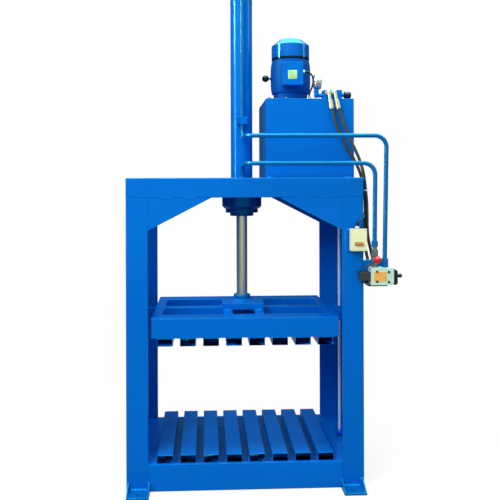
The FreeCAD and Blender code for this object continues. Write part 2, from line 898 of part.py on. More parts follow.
def make_piston():
    """Turn the piston rod and the grooved piston on its spigot."""
    spigot = "spigot_diameter / 2"
    rod_body = turned(
        "PistonRod", "Z",
        [
            (SEAT_TOP, "0"),
            (SEAT_TOP, "rod_diameter / 2"),
            (PISTON_LOW, "rod_diameter / 2"),
            (PISTON_LOW, spigot),
            ("%s + piston_height" % PISTON_LOW, spigot),
            ("%s + piston_height" % PISTON_LOW, "0"),
        ],
    )
    node("piston_rod", rod_body)

    outer = "bore_diameter / 2 - slide_fit"
    floor = "bore_diameter / 2 - slide_fit - seal_groove_depth"
    third = "(piston_height / 3)"
    profile = [(PISTON_LOW, spigot + " + seat_fit"), (PISTON_LOW, outer)]
    for i in (1, 2):
        groove = "%s + %s * %d" % (PISTON_LOW, third, i)
        profile += [
            (groove + " - seal_groove_width / 2", outer),
            (groove + " - seal_groove_width / 2", floor),
            (groove + " + seal_groove_width / 2", floor),
            (groove + " + seal_groove_width / 2", outer),
        ]
    profile += [
        ("%s + piston_height" % PISTON_LOW, outer),
        ("%s + piston_height" % PISTON_LOW, spigot + " + seat_fit"),
    ]
    node("piston", turned("Piston", "Z", profile))

    boss_top = "(%s + boss_height)" % SEAT_TOP
    boss = turned(
        "RodBoss", "Z",
        [
            (SEAT_TOP, "rod_diameter / 2 + seat_fit"),
            (SEAT_TOP, "boss_diameter / 2"),
            ("%s - boss_chamfer" % boss_top, "boss_diameter / 2"),
            (boss_top, "boss_diameter / 2 - boss_chamfer"),
            (boss_top, "rod_diameter / 2 + seat_fit"),
        ],
    )
    node("rod_boss", boss)


def hollow(left, right, low, high, wall):
    """Return the outline and the bore of a rectangular tube."""
    bore = rectangle("%s + %s" % (left, wall), "%s - %s" % (right, wall),
                     "%s + %s" % (low, wall), "%s - %s" % (high, wall))
    return [rectangle(left, right, low, high), bore]


def make_platen():
    """Weld the platen grid from square and rectangular tubes, with the rod seat on top."""
    inner_face = "(%s - end_tube_width)" % PLATEN_BACK
    low, high = "platen_rest", PLATEN_TOP

    loops = hollow("-" + PLATEN_BACK, "-" + inner_face, low, high, "platen_wall")
    end_tube = prism("EndTube", "YZ", loops, "-" + PLATEN_SIDE, PLATEN_SIDE)
    node("platen_end_tubes", both_sides("EndTubes", end_tube, "Y"))

    plug = rectangle("-%s + platen_wall" % PLATEN_BACK, "-%s - platen_wall" % inner_face,
                     low + " + platen_wall", high + " - platen_wall")
    cap = prism("EndTubeCap", "YZ", [plug], PLATEN_SIDE + " - platen_wall", PLATEN_SIDE)
    node("platen_end_caps", four_corners("EndTubeCaps", cap))

    side_left = "(%s - inner_tube_width)" % PLATEN_SIDE
    loops = hollow(side_left, PLATEN_SIDE, low, high, "platen_wall")
    side_tube = prism("SideTube", "XZ", loops, "-" + inner_face, inner_face)
    node("platen_side_tubes", both_sides("SideTubes", side_tube, "X"))

    cross_left = "(cross_tube_offset - inner_tube_width / 2)"
    cross_right = "(cross_tube_offset + inner_tube_width / 2)"
    loops = hollow(cross_left, cross_right, low, high, "platen_wall")
    cross_tube = prism("CrossTube", "XZ", loops, "-" + inner_face, inner_face)
    loops = hollow("-inner_tube_width / 2", "inner_tube_width / 2", low, high, "platen_wall")
    outer_tube = prism("MiddleTube", "YZ", loops, cross_right, side_left)
    centre_tube = prism("CentreTube", "YZ", loops, "-" + cross_left, cross_left)
    inner_tubes = [
        cross_tube, mirrored("CrossTubeMirror", cross_tube, "X"),
        outer_tube, mirrored("MiddleTubeMirror", outer_tube, "X"), centre_tube,
    ]
    node("platen_inner_tubes", group("InnerTubes", *inner_tubes))

    seat = prism(
        "SeatPlate", "XY",
        [rectangle("-seat_width / 2", "seat_width / 2", "-seat_depth / 2", "seat_depth / 2")],
        PLATEN_TOP, SEAT_TOP,
    )
    node("platen_seat_plate", seat)
    node("platen_slats", make_slats("PlatenSlats", "(platen_rest - slat_height)", PLATEN_BACK))


def make_guide_lugs():
    """Form the two lugs that run on the guide rods, at the middle of the platen's sides."""
    high = "(%s - lug_drop)" % PLATEN_TOP
    low = "(%s - lug_height)" % high
    arm = box("LugArm", (PLATEN_SIDE, GUIDE_X), ("-lug_wall / 2", "lug_wall / 2"), (low, high))
    sleeve = rod("LugSleeve", "Z", "lug_sleeve_diameter", low, high, GUIDE_X, "0")
    bore = rod("LugBore", "Z", "guide_diameter + 2 * slide_fit", low + " - lug_wall", high + " + lug_wall",
               GUIDE_X, "0")
    lug = cut("GuideLug", fuse("LugBlank", arm, sleeve), bore)
    node("guide_lugs", both_sides("GuideLugs", lug, "X"))


# --------------------------------------------------------------------------------------------
# Power unit: oil tank, pump and motor
# --------------------------------------------------------------------------------------------

TANK_RIGHT = "(frame_width / 2 - tank_side_gap)"
TANK_FRONT = "(-tank_depth / 2)"
LID_LOW = "(frame_height + tank_height)"
LID = "(frame_height + tank_height + lid_wall)"
MOTOR_X = "(tank_left + motor_offset)"
MOTOR_LOW = "(%s + motor_flange_height + motor_neck_height)" % LID
MOTOR_TOP = "(%s + motor_length)" % MOTOR_LOW
COWL_LOW = "(%s + motor_gap)" % MOTOR_TOP
COWL_TOP = "(%s + cowl_height)" % COWL_LOW
TERMINAL_X = "(%s - terminal_shift)" % MOTOR_X
TERMINAL_LOW = "(%s + terminal_rise)" % LID
SHAFT_BORE = "(shaft_diameter / 2 + slide_fit)"


def make_tank():
    """Weld the open oil tank and bore its lid for the pump drive."""
    inside = box(
        "TankInside",
        ("tank_left + tank_wall", TANK_RIGHT + " - tank_wall"),
        ("-tank_depth / 2 + tank_wall", "tank_depth / 2 - tank_wall"),
        ("frame_height + tank_wall", LID_LOW + " + tank_wall"),
    )
    depth = (TANK_FRONT, "tank_depth / 2")
    shell = box("TankShell", ("tank_left", TANK_RIGHT), depth, ("frame_height", LID_LOW))
    node("oil_tank", cut("OilTank", shell, inside))
    lid = prism(
        "TankLid", "XY",
        [
            rectangle("tank_left", TANK_RIGHT, TANK_FRONT, "tank_depth / 2"),
            disc("lid_bore", MOTOR_X),
        ],
        LID_LOW, LID,
    )
    node("tank_lid", lid)


def make_motor():
    """Turn the flanged motor housing and add the seat of its terminal box."""
    end = "motor_end_diameter / 2"
    body = "motor_diameter / 2"
    taper = "motor_length / 7"
    profile = [
        (LID, SHAFT_BORE),
        (LID, "motor_flange_diameter / 2"),
        ("%s + motor_flange_height" % LID, "motor_flange_diameter / 2"),
        ("%s + motor_flange_height" % LID, "motor_neck_diameter / 2"),
        (MOTOR_LOW, "motor_neck_diameter / 2"),
        (MOTOR_LOW, end),
        ("%s + %s" % (MOTOR_LOW, taper), "(%s) * 0.25 + (%s) * 0.75" % (end, body)),
        ("%s + 2 * %s" % (MOTOR_LOW, taper), body),
        ("%s - 2 * %s" % (MOTOR_TOP, taper), body),
        ("%s - %s" % (MOTOR_TOP, taper), "(%s) * 0.25 + (%s) * 0.75" % (end, body)),
        (MOTOR_TOP, end),
        (MOTOR_TOP, "motor_shoulder_diameter / 2"),
        (COWL_LOW, "motor_shoulder_diameter / 2"),
        (COWL_LOW, "cowl_diameter / 2 - cowl_wall - seat_fit"),
        ("%s + 2 * motor_gap" % COWL_LOW, "cowl_diameter / 2 - cowl_wall - seat_fit"),
        ("%s + 2 * motor_gap" % COWL_LOW, SHAFT_BORE),
    ]
    housing = turned("MotorTurned", "Z", profile, MOTOR_X)
    across = "(terminal_width / 2 - terminal_seat_edge)"
    seat = box(
        "TerminalSeat",
        ("%s - %s" % (TERMINAL_X, across), "%s + %s" % (TERMINAL_X, across)),
        ("-terminal_seat", "-" + SHAFT_BORE + " * 3"),
        ("%s + terminal_seat_edge" % TERMINAL_LOW,
         "%s + terminal_height - terminal_seat_edge" % TERMINAL_LOW),
    )
    stem_seat = rod(
        "StemSeat", "X", "side_stem_diameter + 2 * stem_seat_wall",
        "%s - motor_diameter / 2 - stem_seat_wall" % MOTOR_X,
        "%s - motor_shoulder_diameter / 2 + stem_seat_wall" % MOTOR_X,
        "0", "%s + side_ball_rise" % LID,
    )
    node("motor_housing", fuse("MotorHousing", housing, seat, stem_seat))


def make_cowl():
    """Turn the fan cowl as a thin bell and slot its crown for the air."""
    inner = "cowl_diameter / 2 - cowl_wall"
    crown = "cowl_diameter / 2 - cowl_chamfer_width"
    cowl = turned(
        "FanCowl", "Z",
        [
            (COWL_LOW, inner),
            (COWL_LOW, "cowl_diameter / 2"),
            ("%s - cowl_chamfer_height" % COWL_TOP, "cowl_diameter / 2"),
            (COWL_TOP, crown),
            (COWL_TOP, "0"),
            ("%s - cowl_wall" % COWL_TOP, "0"),
            ("%s - cowl_wall" % COWL_TOP, crown + " - cowl_wall / 2"),
            ("%s - cowl_chamfer_height - cowl_wall / 2" % COWL_TOP, inner),
        ],
    )
    place(cowl, MOTOR_X)
    slot = rectangle("shaft_diameter", crown + " - 2 * cowl_wall", "-cowl_wall", "cowl_wall")
    opening = extrude(cowl, "XY", [slot], "%s - 3 * cowl_wall" % COWL_TOP, "%s + cowl_wall" % COWL_TOP, True)
    ring_pattern(cowl, [opening], COWL_SLOTS)
    node("fan_cowl", cowl)


def make_rotor():
    """Turn the motor shaft down to the pump and build the radial fan on its top."""
    low = "%s - coupling_depth + air_gap" % LID_LOW
    fan_low = "(%s + 2 * motor_gap + 3 * cowl_wall)" % COWL_LOW
    fan_top = "(%s + fan_height)" % fan_low
    shaft = "shaft_diameter / 2"
    profile = [(low, "0"), (low, shaft), (fan_top, shaft), (fan_top, "0")]
    node("motor_shaft", turned("MotorShaft", "Z", profile, MOTOR_X))
    hub = "fan_hub_diameter / 2"
    fan = new_body("MotorFan")
    revolve(
        fan, "Z",
        [
            (fan_low, shaft + " + seat_fit"),
            (fan_low, "fan_diameter / 2"),
            ("%s + cowl_wall" % fan_low, "fan_diameter / 2"),
            ("%s + cowl_wall" % fan_low, hub),
            (fan_top, hub),
            (fan_top, shaft + " + seat_fit"),
        ],
    )
    place(fan, MOTOR_X)
    blade = rectangle(hub + " - cowl_wall", "fan_diameter / 2", "-cowl_wall / 2", "cowl_wall / 2")
    ring_pattern(fan, [extrude(fan, "XY", [blade], fan_low, fan_top)], FAN_BLADES)
    node("motor_fan", fan)


def make_pump():
    """Turn the gear pump that hangs under the lid in the oil, with its drive socket."""
    low = "%s - pump_height" % LID_LOW
    socket = "%s - coupling_depth" % LID_LOW
    profile = [
        (low, "0"),
        (low, "pump_diameter / 2 - cap_chamfer"),
        (low + " + cap_chamfer", "pump_diameter / 2"),
        (LID_LOW, "pump_diameter / 2"),
        (LID_LOW, SHAFT_BORE),
        (socket, SHAFT_BORE),
        (socket, "0"),
    ]
    node("gear_pump", turned("GearPump", "Z", profile, MOTOR_X))


def make_terminal_box():
    """Cast the hollow terminal box with its cable gland, and the rounded lid."""
    left = "(%s - terminal_width / 2)" % TERMINAL_X
    right = "(%s + terminal_width / 2)" % TERMINAL_X
    high = "(%s + terminal_height)" % TERMINAL_LOW
    front = "(-terminal_seat - terminal_depth)"
    outline = rectangle(left, right, TERMINAL_LOW, high)
    shell = new_body("TerminalShell")
    extrude(shell, "XZ", [outline], front, "-terminal_seat")
    rounded(shell, "terminal_corner", "y")
    room = rectangle(left + " + terminal_wall", right + " - terminal_wall",
                     TERMINAL_LOW + " + terminal_wall", high + " - terminal_wall")
    extrude(shell, "XZ", [room], front, "-terminal_seat - terminal_wall", True)
    gland_y = "-terminal_seat - terminal_depth / 2"
    gland_z = "%s + terminal_height * 0.6" % TERMINAL_LOW
    gland = rod("TerminalGland", "X", "gland_nut", right, right + " + gland_rise", gland_y, gland_z)
    node("terminal_box", fuse("TerminalBox", shell, gland))

    lid = new_body("TerminalLid")
    extrude(lid, "XZ", [outline], front + " - terminal_lid", front)
    rounded(lid, "terminal_corner", "y")
    node("terminal_box_lid", lid)


def make_side_knob():
    """Make the round knob on a short stem at the left of the motor."""
    level = "%s + side_ball_rise" % LID
    centre = "%s - side_ball_offset" % MOTOR_X
    seat = "%s - motor_diameter / 2 - stem_seat_wall" % MOTOR_X
    stem = rod("SideStem", "X", "side_stem_diameter", centre, seat, "0", level)
    node("side_knob", fuse("SideKnob", stem, ball("SideBall", "side_ball_diameter", centre, "0", level)))


# --------------------------------------------------------------------------------------------
# Valve block, relief knob and pressure gauge on the tank
# --------------------------------------------------------------------------------------------

BLOCK_FRONT = "(%s + block_setback)" % TANK_FRONT
BLOCK_Y = "(%s + block_depth / 2)" % BLOCK_FRONT
BLOCK_LEFT = "(tank_left + block_offset)"
BLOCK_RIGHT = "(%s + block_width)" % BLOCK_LEFT
NECK_RIGHT = "(%s + neck_length)" % BLOCK_RIGHT
NECK_Z = "(%s + neck_rise)" % LID
GAUGE_X = "(%s - gauge_offset)" % BLOCK_LEFT
GAUGE_Z = "(%s + gauge_rise)" % LID
GAUGE_BACK = "(%s - gauge_seat)" % GAUGE_X
GAUGE_FACE = "(%s + gauge_length)" % GAUGE_BACK
ELBOW_TOP = "(%s + gauge_elbow_height)" % LID


def make_valve_block():
    """Bore the pump manifold for the relief knob's stem."""
    depth = (BLOCK_FRONT, BLOCK_FRONT + " + block_depth")
    blank = box("BlockBlank", (BLOCK_LEFT, BLOCK_RIGHT), depth, (LID, LID + " + block_height"))
    neck = rod("BlockNeck", "X", "neck_diameter", BLOCK_RIGHT + " - neck_length", NECK_RIGHT, BLOCK_Y, NECK_Z)
    stem_left = NECK_RIGHT + " - relief_stem_length - air_gap"
    bore = rod("BlockBore", "X", "relief_stem_diameter + 2 * slide_fit", stem_left,
               NECK_RIGHT + " + neck_length", BLOCK_Y, NECK_Z)
    node("valve_block", cut("ValveBlock", fuse("BlockCast", blank, neck), bore))


def make_relief_knob():
    """Turn the adjusting knob and its stem, with chamfered grip."""
    stem = "relief_stem_diameter / 2"
    grip = "relief_diameter / 2"
    knob = turned(
        "ReliefKnob", "X",
        [
            (NECK_RIGHT + " - relief_stem_length", "0"),
            (NECK_RIGHT + " - relief_stem_length", stem),
            (NECK_RIGHT + " + air_gap", stem),
            (NECK_RIGHT + " + air_gap", grip + " - relief_chamfer"),
            (NECK_RIGHT + " + air_gap + relief_chamfer", grip),
            (NECK_RIGHT + " + relief_length - relief_chamfer", grip),
            (NECK_RIGHT + " + relief_length", grip + " - relief_chamfer"),
            (NECK_RIGHT + " + relief_length", "0"),
        ],
        "0", BLOCK_Y, NECK_Z,
    )
    node("relief_knob", knob)


def make_gauge():
    """Turn the gauge case with its rim and pointer bore, and stand it on its elbow."""
    outer = "gauge_diameter / 2"
    floor = "%s - gauge_recess" % GAUGE_FACE
    pivot = "pointer_shaft / 2 + slide_fit"
    blind = "%s - gauge_recess" % floor
    case = turned(
        "GaugeTurned", "X",
        [
            (GAUGE_BACK, "0"),
            (GAUGE_BACK, outer + " - gauge_rim"),
            (GAUGE_BACK + " + gauge_rim", outer),
            (GAUGE_FACE, outer),
            (GAUGE_FACE, outer + " - gauge_rim"),
            (floor, outer + " - gauge_rim"),
            (floor, pivot),
            (blind, pivot),
            (blind, "0"),
        ],
        "0", BLOCK_Y, GAUGE_Z,
    )
    neck = rod("GaugeNeck", "Z", "gauge_boss_diameter", ELBOW_TOP,
               "%s - gauge_diameter / 2 + gauge_rim" % GAUGE_Z, GAUGE_X, BLOCK_Y)
    node("gauge_case", fuse("GaugeCase", case, neck))

    level = "%s + gauge_elbow_rise" % LID
    foot = rod("ElbowRun", "X", "gauge_elbow_diameter * 0.8", GAUGE_X, BLOCK_LEFT, BLOCK_Y, level)
    stand = rod("ElbowRise", "Z", "gauge_elbow_diameter", level, ELBOW_TOP, GAUGE_X, BLOCK_Y)
    corner = ball("ElbowCorner", "gauge_elbow_diameter", GAUGE_X, BLOCK_Y, level)
    node("gauge_elbow", fuse("GaugeElbow", foot, stand, corner))

    disc_low = "(%s + pointer_wall)" % floor
    pointer = turned(
        "PointerTurned", "X",
        [
            (blind + " + air_gap", "0"),
            (blind + " + air_gap", "pointer_shaft / 2"),
            (disc_low, "pointer_shaft / 2"),
            (disc_low, "pointer_hub / 2"),
            (disc_low + " + 2 * pointer_wall", "pointer_hub / 2"),
            (disc_low + " + 2 * pointer_wall", "0"),
        ],
        "0", BLOCK_Y, GAUGE_Z,
    )
    half = "pointer_width / 2"
    tip = "pointer_wall / 4"
    blade = [("-" + half, "0"), (half, "0"), (tip, "pointer_length"), ("-" + tip, "pointer_length")]
    needle = prism("Needle", "YZ", [blade], disc_low, disc_low + " + pointer_wall")
    place(needle, "0", BLOCK_Y, GAUGE_Z)
    node("gauge_pointer", fuse("GaugePointer", pointer, needle))


# --------------------------------------------------------------------------------------------
# Routes of pipes, hoses and cable
# --------------------------------------------------------------------------------------------

def route(name, corners, radius=None):
    """Join straight runs with tangent arcs; without a radius each arc is as large as fits."""
    edges = []
    start = corners[0]
    for before, corner, after in zip(corners, corners[1:], corners[2:]):
        come = corner - before
        leave = after - corner
        turn = come.getAngle(leave)
        reach = 0.45 * min(come.Length, leave.Length)
        bend = radius or reach / math.tan(turn / 2)
        trim = bend * math.tan(turn / 2)
        come.normalize()
        leave.normalize()
        into = corner - come * trim
        out = corner + leave * trim
        inward = (leave - come).normalize()
        middle = corner + inward * (bend / math.cos(turn / 2) - bend)
        edges += [Part.LineSegment(start, into), Part.Arc(into, middle, out)]
        start = out
        if radius is None:
            print("%s bend radius %.0f mm" % (name, bend))
    edges.append(Part.LineSegment(start, corners[-1]))
    path = document.addObject("Part::Feature", name + "Route")
    path.Shape = Part.Wire([edge.toShape() for edge in edges])
    return path


def swept(name, path, diameter):
    """Sweep a circle of a bound diameter along a route."""
    first = path.Shape.Edges[0]
    ring = document.addObject("Part::Circle", name + "Ring")
    bind(ring, Radius="(%s) / 2" % diameter)
    ring.Placement = Placement(
        first.valueAt(first.FirstParameter),
        Rotation(Vector(0, 0, 1), first.tangentAt(first.FirstParameter)),
    )
    sweep = document.addObject("Part::Sweep", name)
    sweep.Sections = [ring]
    sweep.Spine = (path, ["Edge%d" % (i + 1) for i in range(len(path.Shape.Edges))])
    sweep.Solid = True
    return sweep


def bar(name, start, end, diameter):
    """Make a round bar between two points."""
    solid = document.addObject("Part::Cylinder", name)
    bind(solid, Radius="(%s) / 2" % diameter)
    solid.Height = (end - start).Length
    solid.Placement = Placement(start, Rotation(Vector(0, 0, 1), end - start))
    return solid


def hex_nut(name, axis, width, low, high, a, b):
    """Make a hexagonal nut along an axis, placed like a rod."""
    solid = document.addObject("Part::Prism", name)
    solid.Polygon = 6
    solid.Placement = Placement(Vector(), TURNS[axis])
    bind(solid, Circumradius="(%s) / 2 / cos(30)" % width, Height="(%s) - (%s)" % (high, low))
    spots = {"X": (low, a, b), "Y": (a, low, b), "Z": (a, b, low)}
    return place(solid, *spots[axis])


VALVE_LEFT = "(frame_width / 2 + valve_offset)"
VALVE_RIGHT = "(%s + valve_width)" % VALVE_LEFT
VALVE_BACK = FRONT
VALVE_FRONT = "(%s - valve_depth)" % FRONT
VALVE_Y = "(%s - valve_depth / 2)" % FRONT
VALVE_TOP = "(valve_rise + valve_height)"
SPOOL_Z = "(valve_rise + spool_rise)"
SUPPLY_Y = "(%s + supply_standoff)" % FRONT
SUPPLY_Z = "(valve_rise + supply_rise)"
SUPPLY_LEFT = "(frame_width / 2 + supply_offset)"
SUPPLY_RIGHT = "(%s + supply_pitch)" % SUPPLY_LEFT
FERRULE_TOP = "(%s + fitting_diameter + ferrule_rise + ferrule_length)" % SUPPLY_Z
CAP_DROP = "(%s + cap_drop_offset)" % VALVE_LEFT
ROD_DROP = "(%s + rod_drop_offset)" % VALVE_LEFT

HOSE_HOLD, HOSE_HANG = 0, 7
PRESSURE_PATH = (
    (455.0, -245.0, 1928.0), (467.0, -244.0, 1880.0), (485.0, -242.0, 1827.0), (509.0, -239.0, 1772.0),
    (541.0, -236.0, 1718.0), (573.0, -234.0, 1665.0), (598.0, -233.0, 1612.0), (613.0, -233.0, 1568.0),
    (622.5, -233.0, 1524.0), (628.5, -233.0, 1478.0), (630.3, -234.0, 1432.0), (629.8, -237.0, 1376.0),
    (627.5, -242.0, 1320.0), (625.5, -250.0, 1270.0), (624.8, -262.0, 1222.0), (627.0, -275.0, 1184.0),
    (630.0, -283.0, 1150.0),
)
RETURN_PATH = (
    (490.0, -245.0, 1928.0), (506.0, -246.0, 1875.0), (526.0, -248.0, 1820.0), (547.0, -250.0, 1770.0),
    (571.0, -252.0, 1721.0), (594.0, -254.0, 1670.0), (612.0, -254.0, 1615.0), (621.5, -254.0, 1562.0),
    (627.5, -254.0, 1508.0), (632.0, -254.0, 1464.0), (634.3, -255.0, 1420.0), (634.4, -257.0, 1370.0),
    (634.0, -260.5, 1322.0), (636.0, -266.0, 1277.0), (641.0, -271.5, 1236.0), (648.5, -278.0, 1192.0),
    (656.0, -283.0, 1150.0),
)
CABLE_HOLD, CABLE_HANG = 10, 16
CABLE_PATH = (
    (334.0, -135.0, 2136.2), (355.0, -134.0, 2133.5), (369.0, -129.0, 2123.5), (378.5, -122.0, 2104.0),
    (380.5, -114.0, 2072.0), (372.5, -108.0, 2046.0), (361.0, -103.0, 2024.0), (355.5, -94.0, 2006.0),
    (359.0, -78.0, 1994.0), (371.0, -56.0, 1989.5), (388.0, -30.0, 1989.3), (409.0, -3.0, 1989.3),
    (436.0, 21.0, 1989.0), (470.0, 42.0, 1989.0), (513.0, 56.0, 1990.0), (556.0, 52.0, 1996.0),
    (592.0, 46.0, 1984.0), (598.0, 42.0, 1942.0), (588.0, 38.0, 1880.0), (585.5, 36.0, 1800.0),
    (586.0, 34.0, 1710.0), (592.0, 30.0, 1640.0), (606.0, 22.0, 1575.0), (606.5, 2.0, 1510.0),
    (606.0, -50.0, 1460.0), (606.5, -120.0, 1425.0), (606.0, -200.0, 1402.0), (607.0, -270.0, 1388.0),
    (608.0, -323.0, 1371.0), (589.0, -342.0, 1360.0), (570.0, -345.0, 1341.0), (561.6, -344.8, 1324.0),
)


def make_pipe(label, name, port_level, standoff, level, drop, lean, foot, nut_width, nut_height):
    """Bend one steel pipe from a port elbow on the cylinder to its union on the valve."""
    block_y = ("-%s - elbow_width / 2" % standoff, BARREL_FRONT + " * 0.9")
    half = ("-elbow_width / 2", "elbow_width / 2")
    block = box(name + "Block", half, block_y,
                (port_level + " - elbow_width / 2", port_level + " + elbow_width / 2"))
    rising = number(level) > number(port_level)
    begin = "%s %s elbow_width / 2" % (port_level, "+" if rising else "-")
    corners = [
        point("0", "-" + standoff, begin),
        point("0", "-" + standoff, level),
        point("0", VALVE_Y, level),
        point("%s + %s" % (drop, lean), VALVE_Y, level),
        point(drop, VALVE_Y, "%s + %s + pipe_diameter" % (foot, nut_height)),
        point(drop, VALVE_Y, foot),
    ]
    path = route(name, corners, number("pipe_bend"))
    outer = swept(name + "Outer", path, "pipe_diameter")
    bore = swept(name + "Bore", path, "pipe_bore")
    barrel = rod(name + "Saddle", "Z", BARREL_BORE_HOLE, port_level + " - elbow_width",
                 port_level + " + elbow_width", "0", "0")
    pipe = fuse(name + "Solid", cut(name + "Tube", outer, bore), cut(name + "Elbow", block, barrel))
    nut = hex_nut(name + "Nut", "Z", nut_width, foot, "%s + %s" % (foot, nut_height), drop, VALVE_Y)
    hole = rod(name + "NutHole", "Z", "pipe_diameter - seat_fit", foot + " - seat_fit",
               "%s + %s + seat_fit" % (foot, nut_height), drop, VALVE_Y)
    node(label, fuse(name, pipe, cut(name + "Union", nut, hole)))


def make_pipes():
    """Bend the two pipes in one plane and clamp the long one to the barrel."""
    make_pipe("cap_pipe", "CapPipe", CAP_PORT, "cap_pipe_standoff", "cap_pipe_level",
              CAP_DROP, "cap_drop_lean", VALVE_TOP, "cap_nut_width", "cap_nut_height")
    make_pipe("rod_pipe", "RodPipe", ROD_PORT, "rod_pipe_standoff", "rod_pipe_level",
              ROD_DROP, "rod_drop_lean", "(%s + adapter_height)" % VALVE_TOP, "rod_nut_width", "rod_nut_height")

    adapter = hex_nut("AdapterBody", "Z", "rod_nut_width", VALVE_TOP,
                      "%s + adapter_height - adapter_neck" % VALVE_TOP, ROD_DROP, VALVE_Y)
    neck = rod("AdapterNeck", "Z", "adapter_neck_diameter", VALVE_TOP, "%s + adapter_height" % VALVE_TOP,
               ROD_DROP, VALVE_Y)
    node("rod_port_adapter", fuse("RodPortAdapter", adapter, neck))

    block = box(
        "ClampBlock",
        ("-clamp_width / 2", "clamp_width / 2"),
        ("-cap_pipe_standoff - pipe_diameter / 2 - clamp_cover", BARREL_FRONT + " * 0.9"),
        ("clamp_level - clamp_height / 2", "clamp_level + clamp_height / 2"),
    )
    low, high = "clamp_level - clamp_height", "clamp_level + clamp_height"
    barrel = rod("ClampBarrel", "Z", BARREL_BORE_HOLE, low, high, "0", "0")
    pipe = rod("ClampPipe", "Z", "pipe_diameter + 2 * seat_fit", low, high, "0", "-cap_pipe_standoff")
    node("pipe_clamp", cut("PipeClamp", block, barrel, pipe))


def follow(drawn, start, end, hold, hang):
    """Carry a drawn route with its ends: up to point hold with the near one, from hang with the far one."""
    first, last = Vector(*drawn[0]), Vector(*drawn[-1])
    moved = [start]
    for step, corner in enumerate(drawn[1:-1], start=1):
        share = min(1.0, max(0.0, (step - hold) / (hang - hold)))
        moved.append(Vector(*corner) + (start - first) * (1 - share) + (end - last) * share)
    return moved + [end]


def make_hoses():
    """Crimp the four hose ends and sweep the two hoses between them."""
    fittings = []
    hoses = (
        ("pressure_hose", "PressureHose", "pressure_port", "pressure_lean", SUPPLY_LEFT, PRESSURE_PATH),
        ("return_hose", "ReturnHose", "return_port", "return_lean", SUPPLY_RIGHT, RETURN_PATH),
    )
    for label, name, port, lean_to, across, drawn in hoses:
        level = NECK_Z + " + hose_port_rise"
        spot = "%s + %s" % (BLOCK_LEFT, port)
        top = point("%s + %s" % (BLOCK_LEFT, lean_to), BLOCK_FRONT + " - hose_standoff", LID + " - hose_drop")
        foot = point(across, SUPPLY_Y, FERRULE_TOP)
        corner = point(spot, BLOCK_FRONT + " - hose_standoff", level)
        lean = (top - corner).normalize()
        crimp = top - lean * number("ferrule_length")
        nut = hex_nut(name + "TopNut", "Y", "fitting_nut", BLOCK_FRONT + " - fitting_nut / 2", BLOCK_FRONT,
                      spot, level)
        stub = rod(name + "TopStub", "Y", "fitting_diameter", BLOCK_FRONT + " - hose_standoff", BLOCK_FRONT,
                   spot, level)
        turn = ball(name + "TopTurn", "fitting_diameter", spot, BLOCK_FRONT + " - hose_standoff", level)
        neck = bar(name + "TopNeck", corner, crimp, "fitting_diameter")
        ferrule = bar(name + "TopFerrule", crimp, top, "ferrule_diameter")
        fittings.append(fuse(name + "Top", nut, stub, turn, neck, ferrule))

        nut_y = "%s + bracket_wall" % FRONT
        nut = hex_nut(name + "LowNut", "Y", "supply_nut", nut_y, nut_y + " + fitting_nut / 2",
                      across, SUPPLY_Z)
        stub = rod(name + "LowStub", "Y", "fitting_diameter", FRONT, SUPPLY_Y, across, SUPPLY_Z)
        turn = ball(name + "LowTurn", "fitting_diameter", across, SUPPLY_Y, SUPPLY_Z)
        neck = rod(name + "LowNeck", "Z", "fitting_diameter", SUPPLY_Z, FERRULE_TOP, across, SUPPLY_Y)
        ferrule = rod(name + "LowFerrule", "Z", "ferrule_diameter", FERRULE_TOP + " - ferrule_length",
                      FERRULE_TOP, across, SUPPLY_Y)
        fittings.append(fuse(name + "Low", nut, stub, turn, neck, ferrule))

        path = route(name, follow(drawn, top, foot, HOSE_HOLD, HOSE_HANG))
        hose = node(label, swept(name, path, "hose_diameter"))
        report_volume(hose, path, "hose_diameter")
    node("hose_fittings", group("HoseFittings", *fittings))


def report_volume(tube, path, diameter):
    """Print how a tube's volume compares with its section times its length."""
    document.recompute()
    section = math.pi * number(diameter) ** 2 / 4
    print("%s volume ratio %.5f" % (tube.Label, tube.Shape.Volume / (section * path.Shape.Length)))


def make_cable():
    """Sweep the motor's cable from its terminal box over the lid and down to the switch."""
    start = point(
        "%s + terminal_width / 2 + gland_rise" % TERMINAL_X,
        "-terminal_seat - terminal_depth / 2",
        "%s + terminal_height * 0.6" % TERMINAL_LOW,
    )
    end = point(SWITCH_GLAND_X, SWITCH_Y, SWITCH_TOP + " + switch_gland_rise")
    path = route("MotorCable", follow(CABLE_PATH, start, end, CABLE_HOLD, CABLE_HANG))
    cable = node("motor_cable", swept("MotorCable", path, "cable_diameter"))
    report_volume(cable, path, "cable_diameter")


# --------------------------------------------------------------------------------------------
# Hand valve on the right post
# --------------------------------------------------------------------------------------------

LEVER_X = "(%s - lever_offset)" % VALVE_LEFT
LEVER_Z = "(%s + lever_pivot_rise)" % SPOOL_Z
LEVER_BOX_LEFT = "(%s - lever_box_width)" % VALVE_LEFT
LEVER_BOX_LOW = "(valve_rise + lever_box_rise)"
LEVER_BOX_TOP = "(%s + lever_box_height)" % LEVER_BOX_LOW


def make_valve_bracket():
    """Cut the plate that carries the valve beside the post, with holes for the supply."""
    outline = rectangle(SIDE, SIDE + " + bracket_reach", "valve_rise", "valve_rise + bracket_height")
    holes = [disc("fitting_diameter + 2 * seat_fit", x, SUPPLY_Z) for x in (SUPPLY_LEFT, SUPPLY_RIGHT)]
    plate = prism("ValveBracket", "XZ", [outline] + holes, FRONT, "%s + bracket_wall" % FRONT)
    node("valve_bracket", plate)


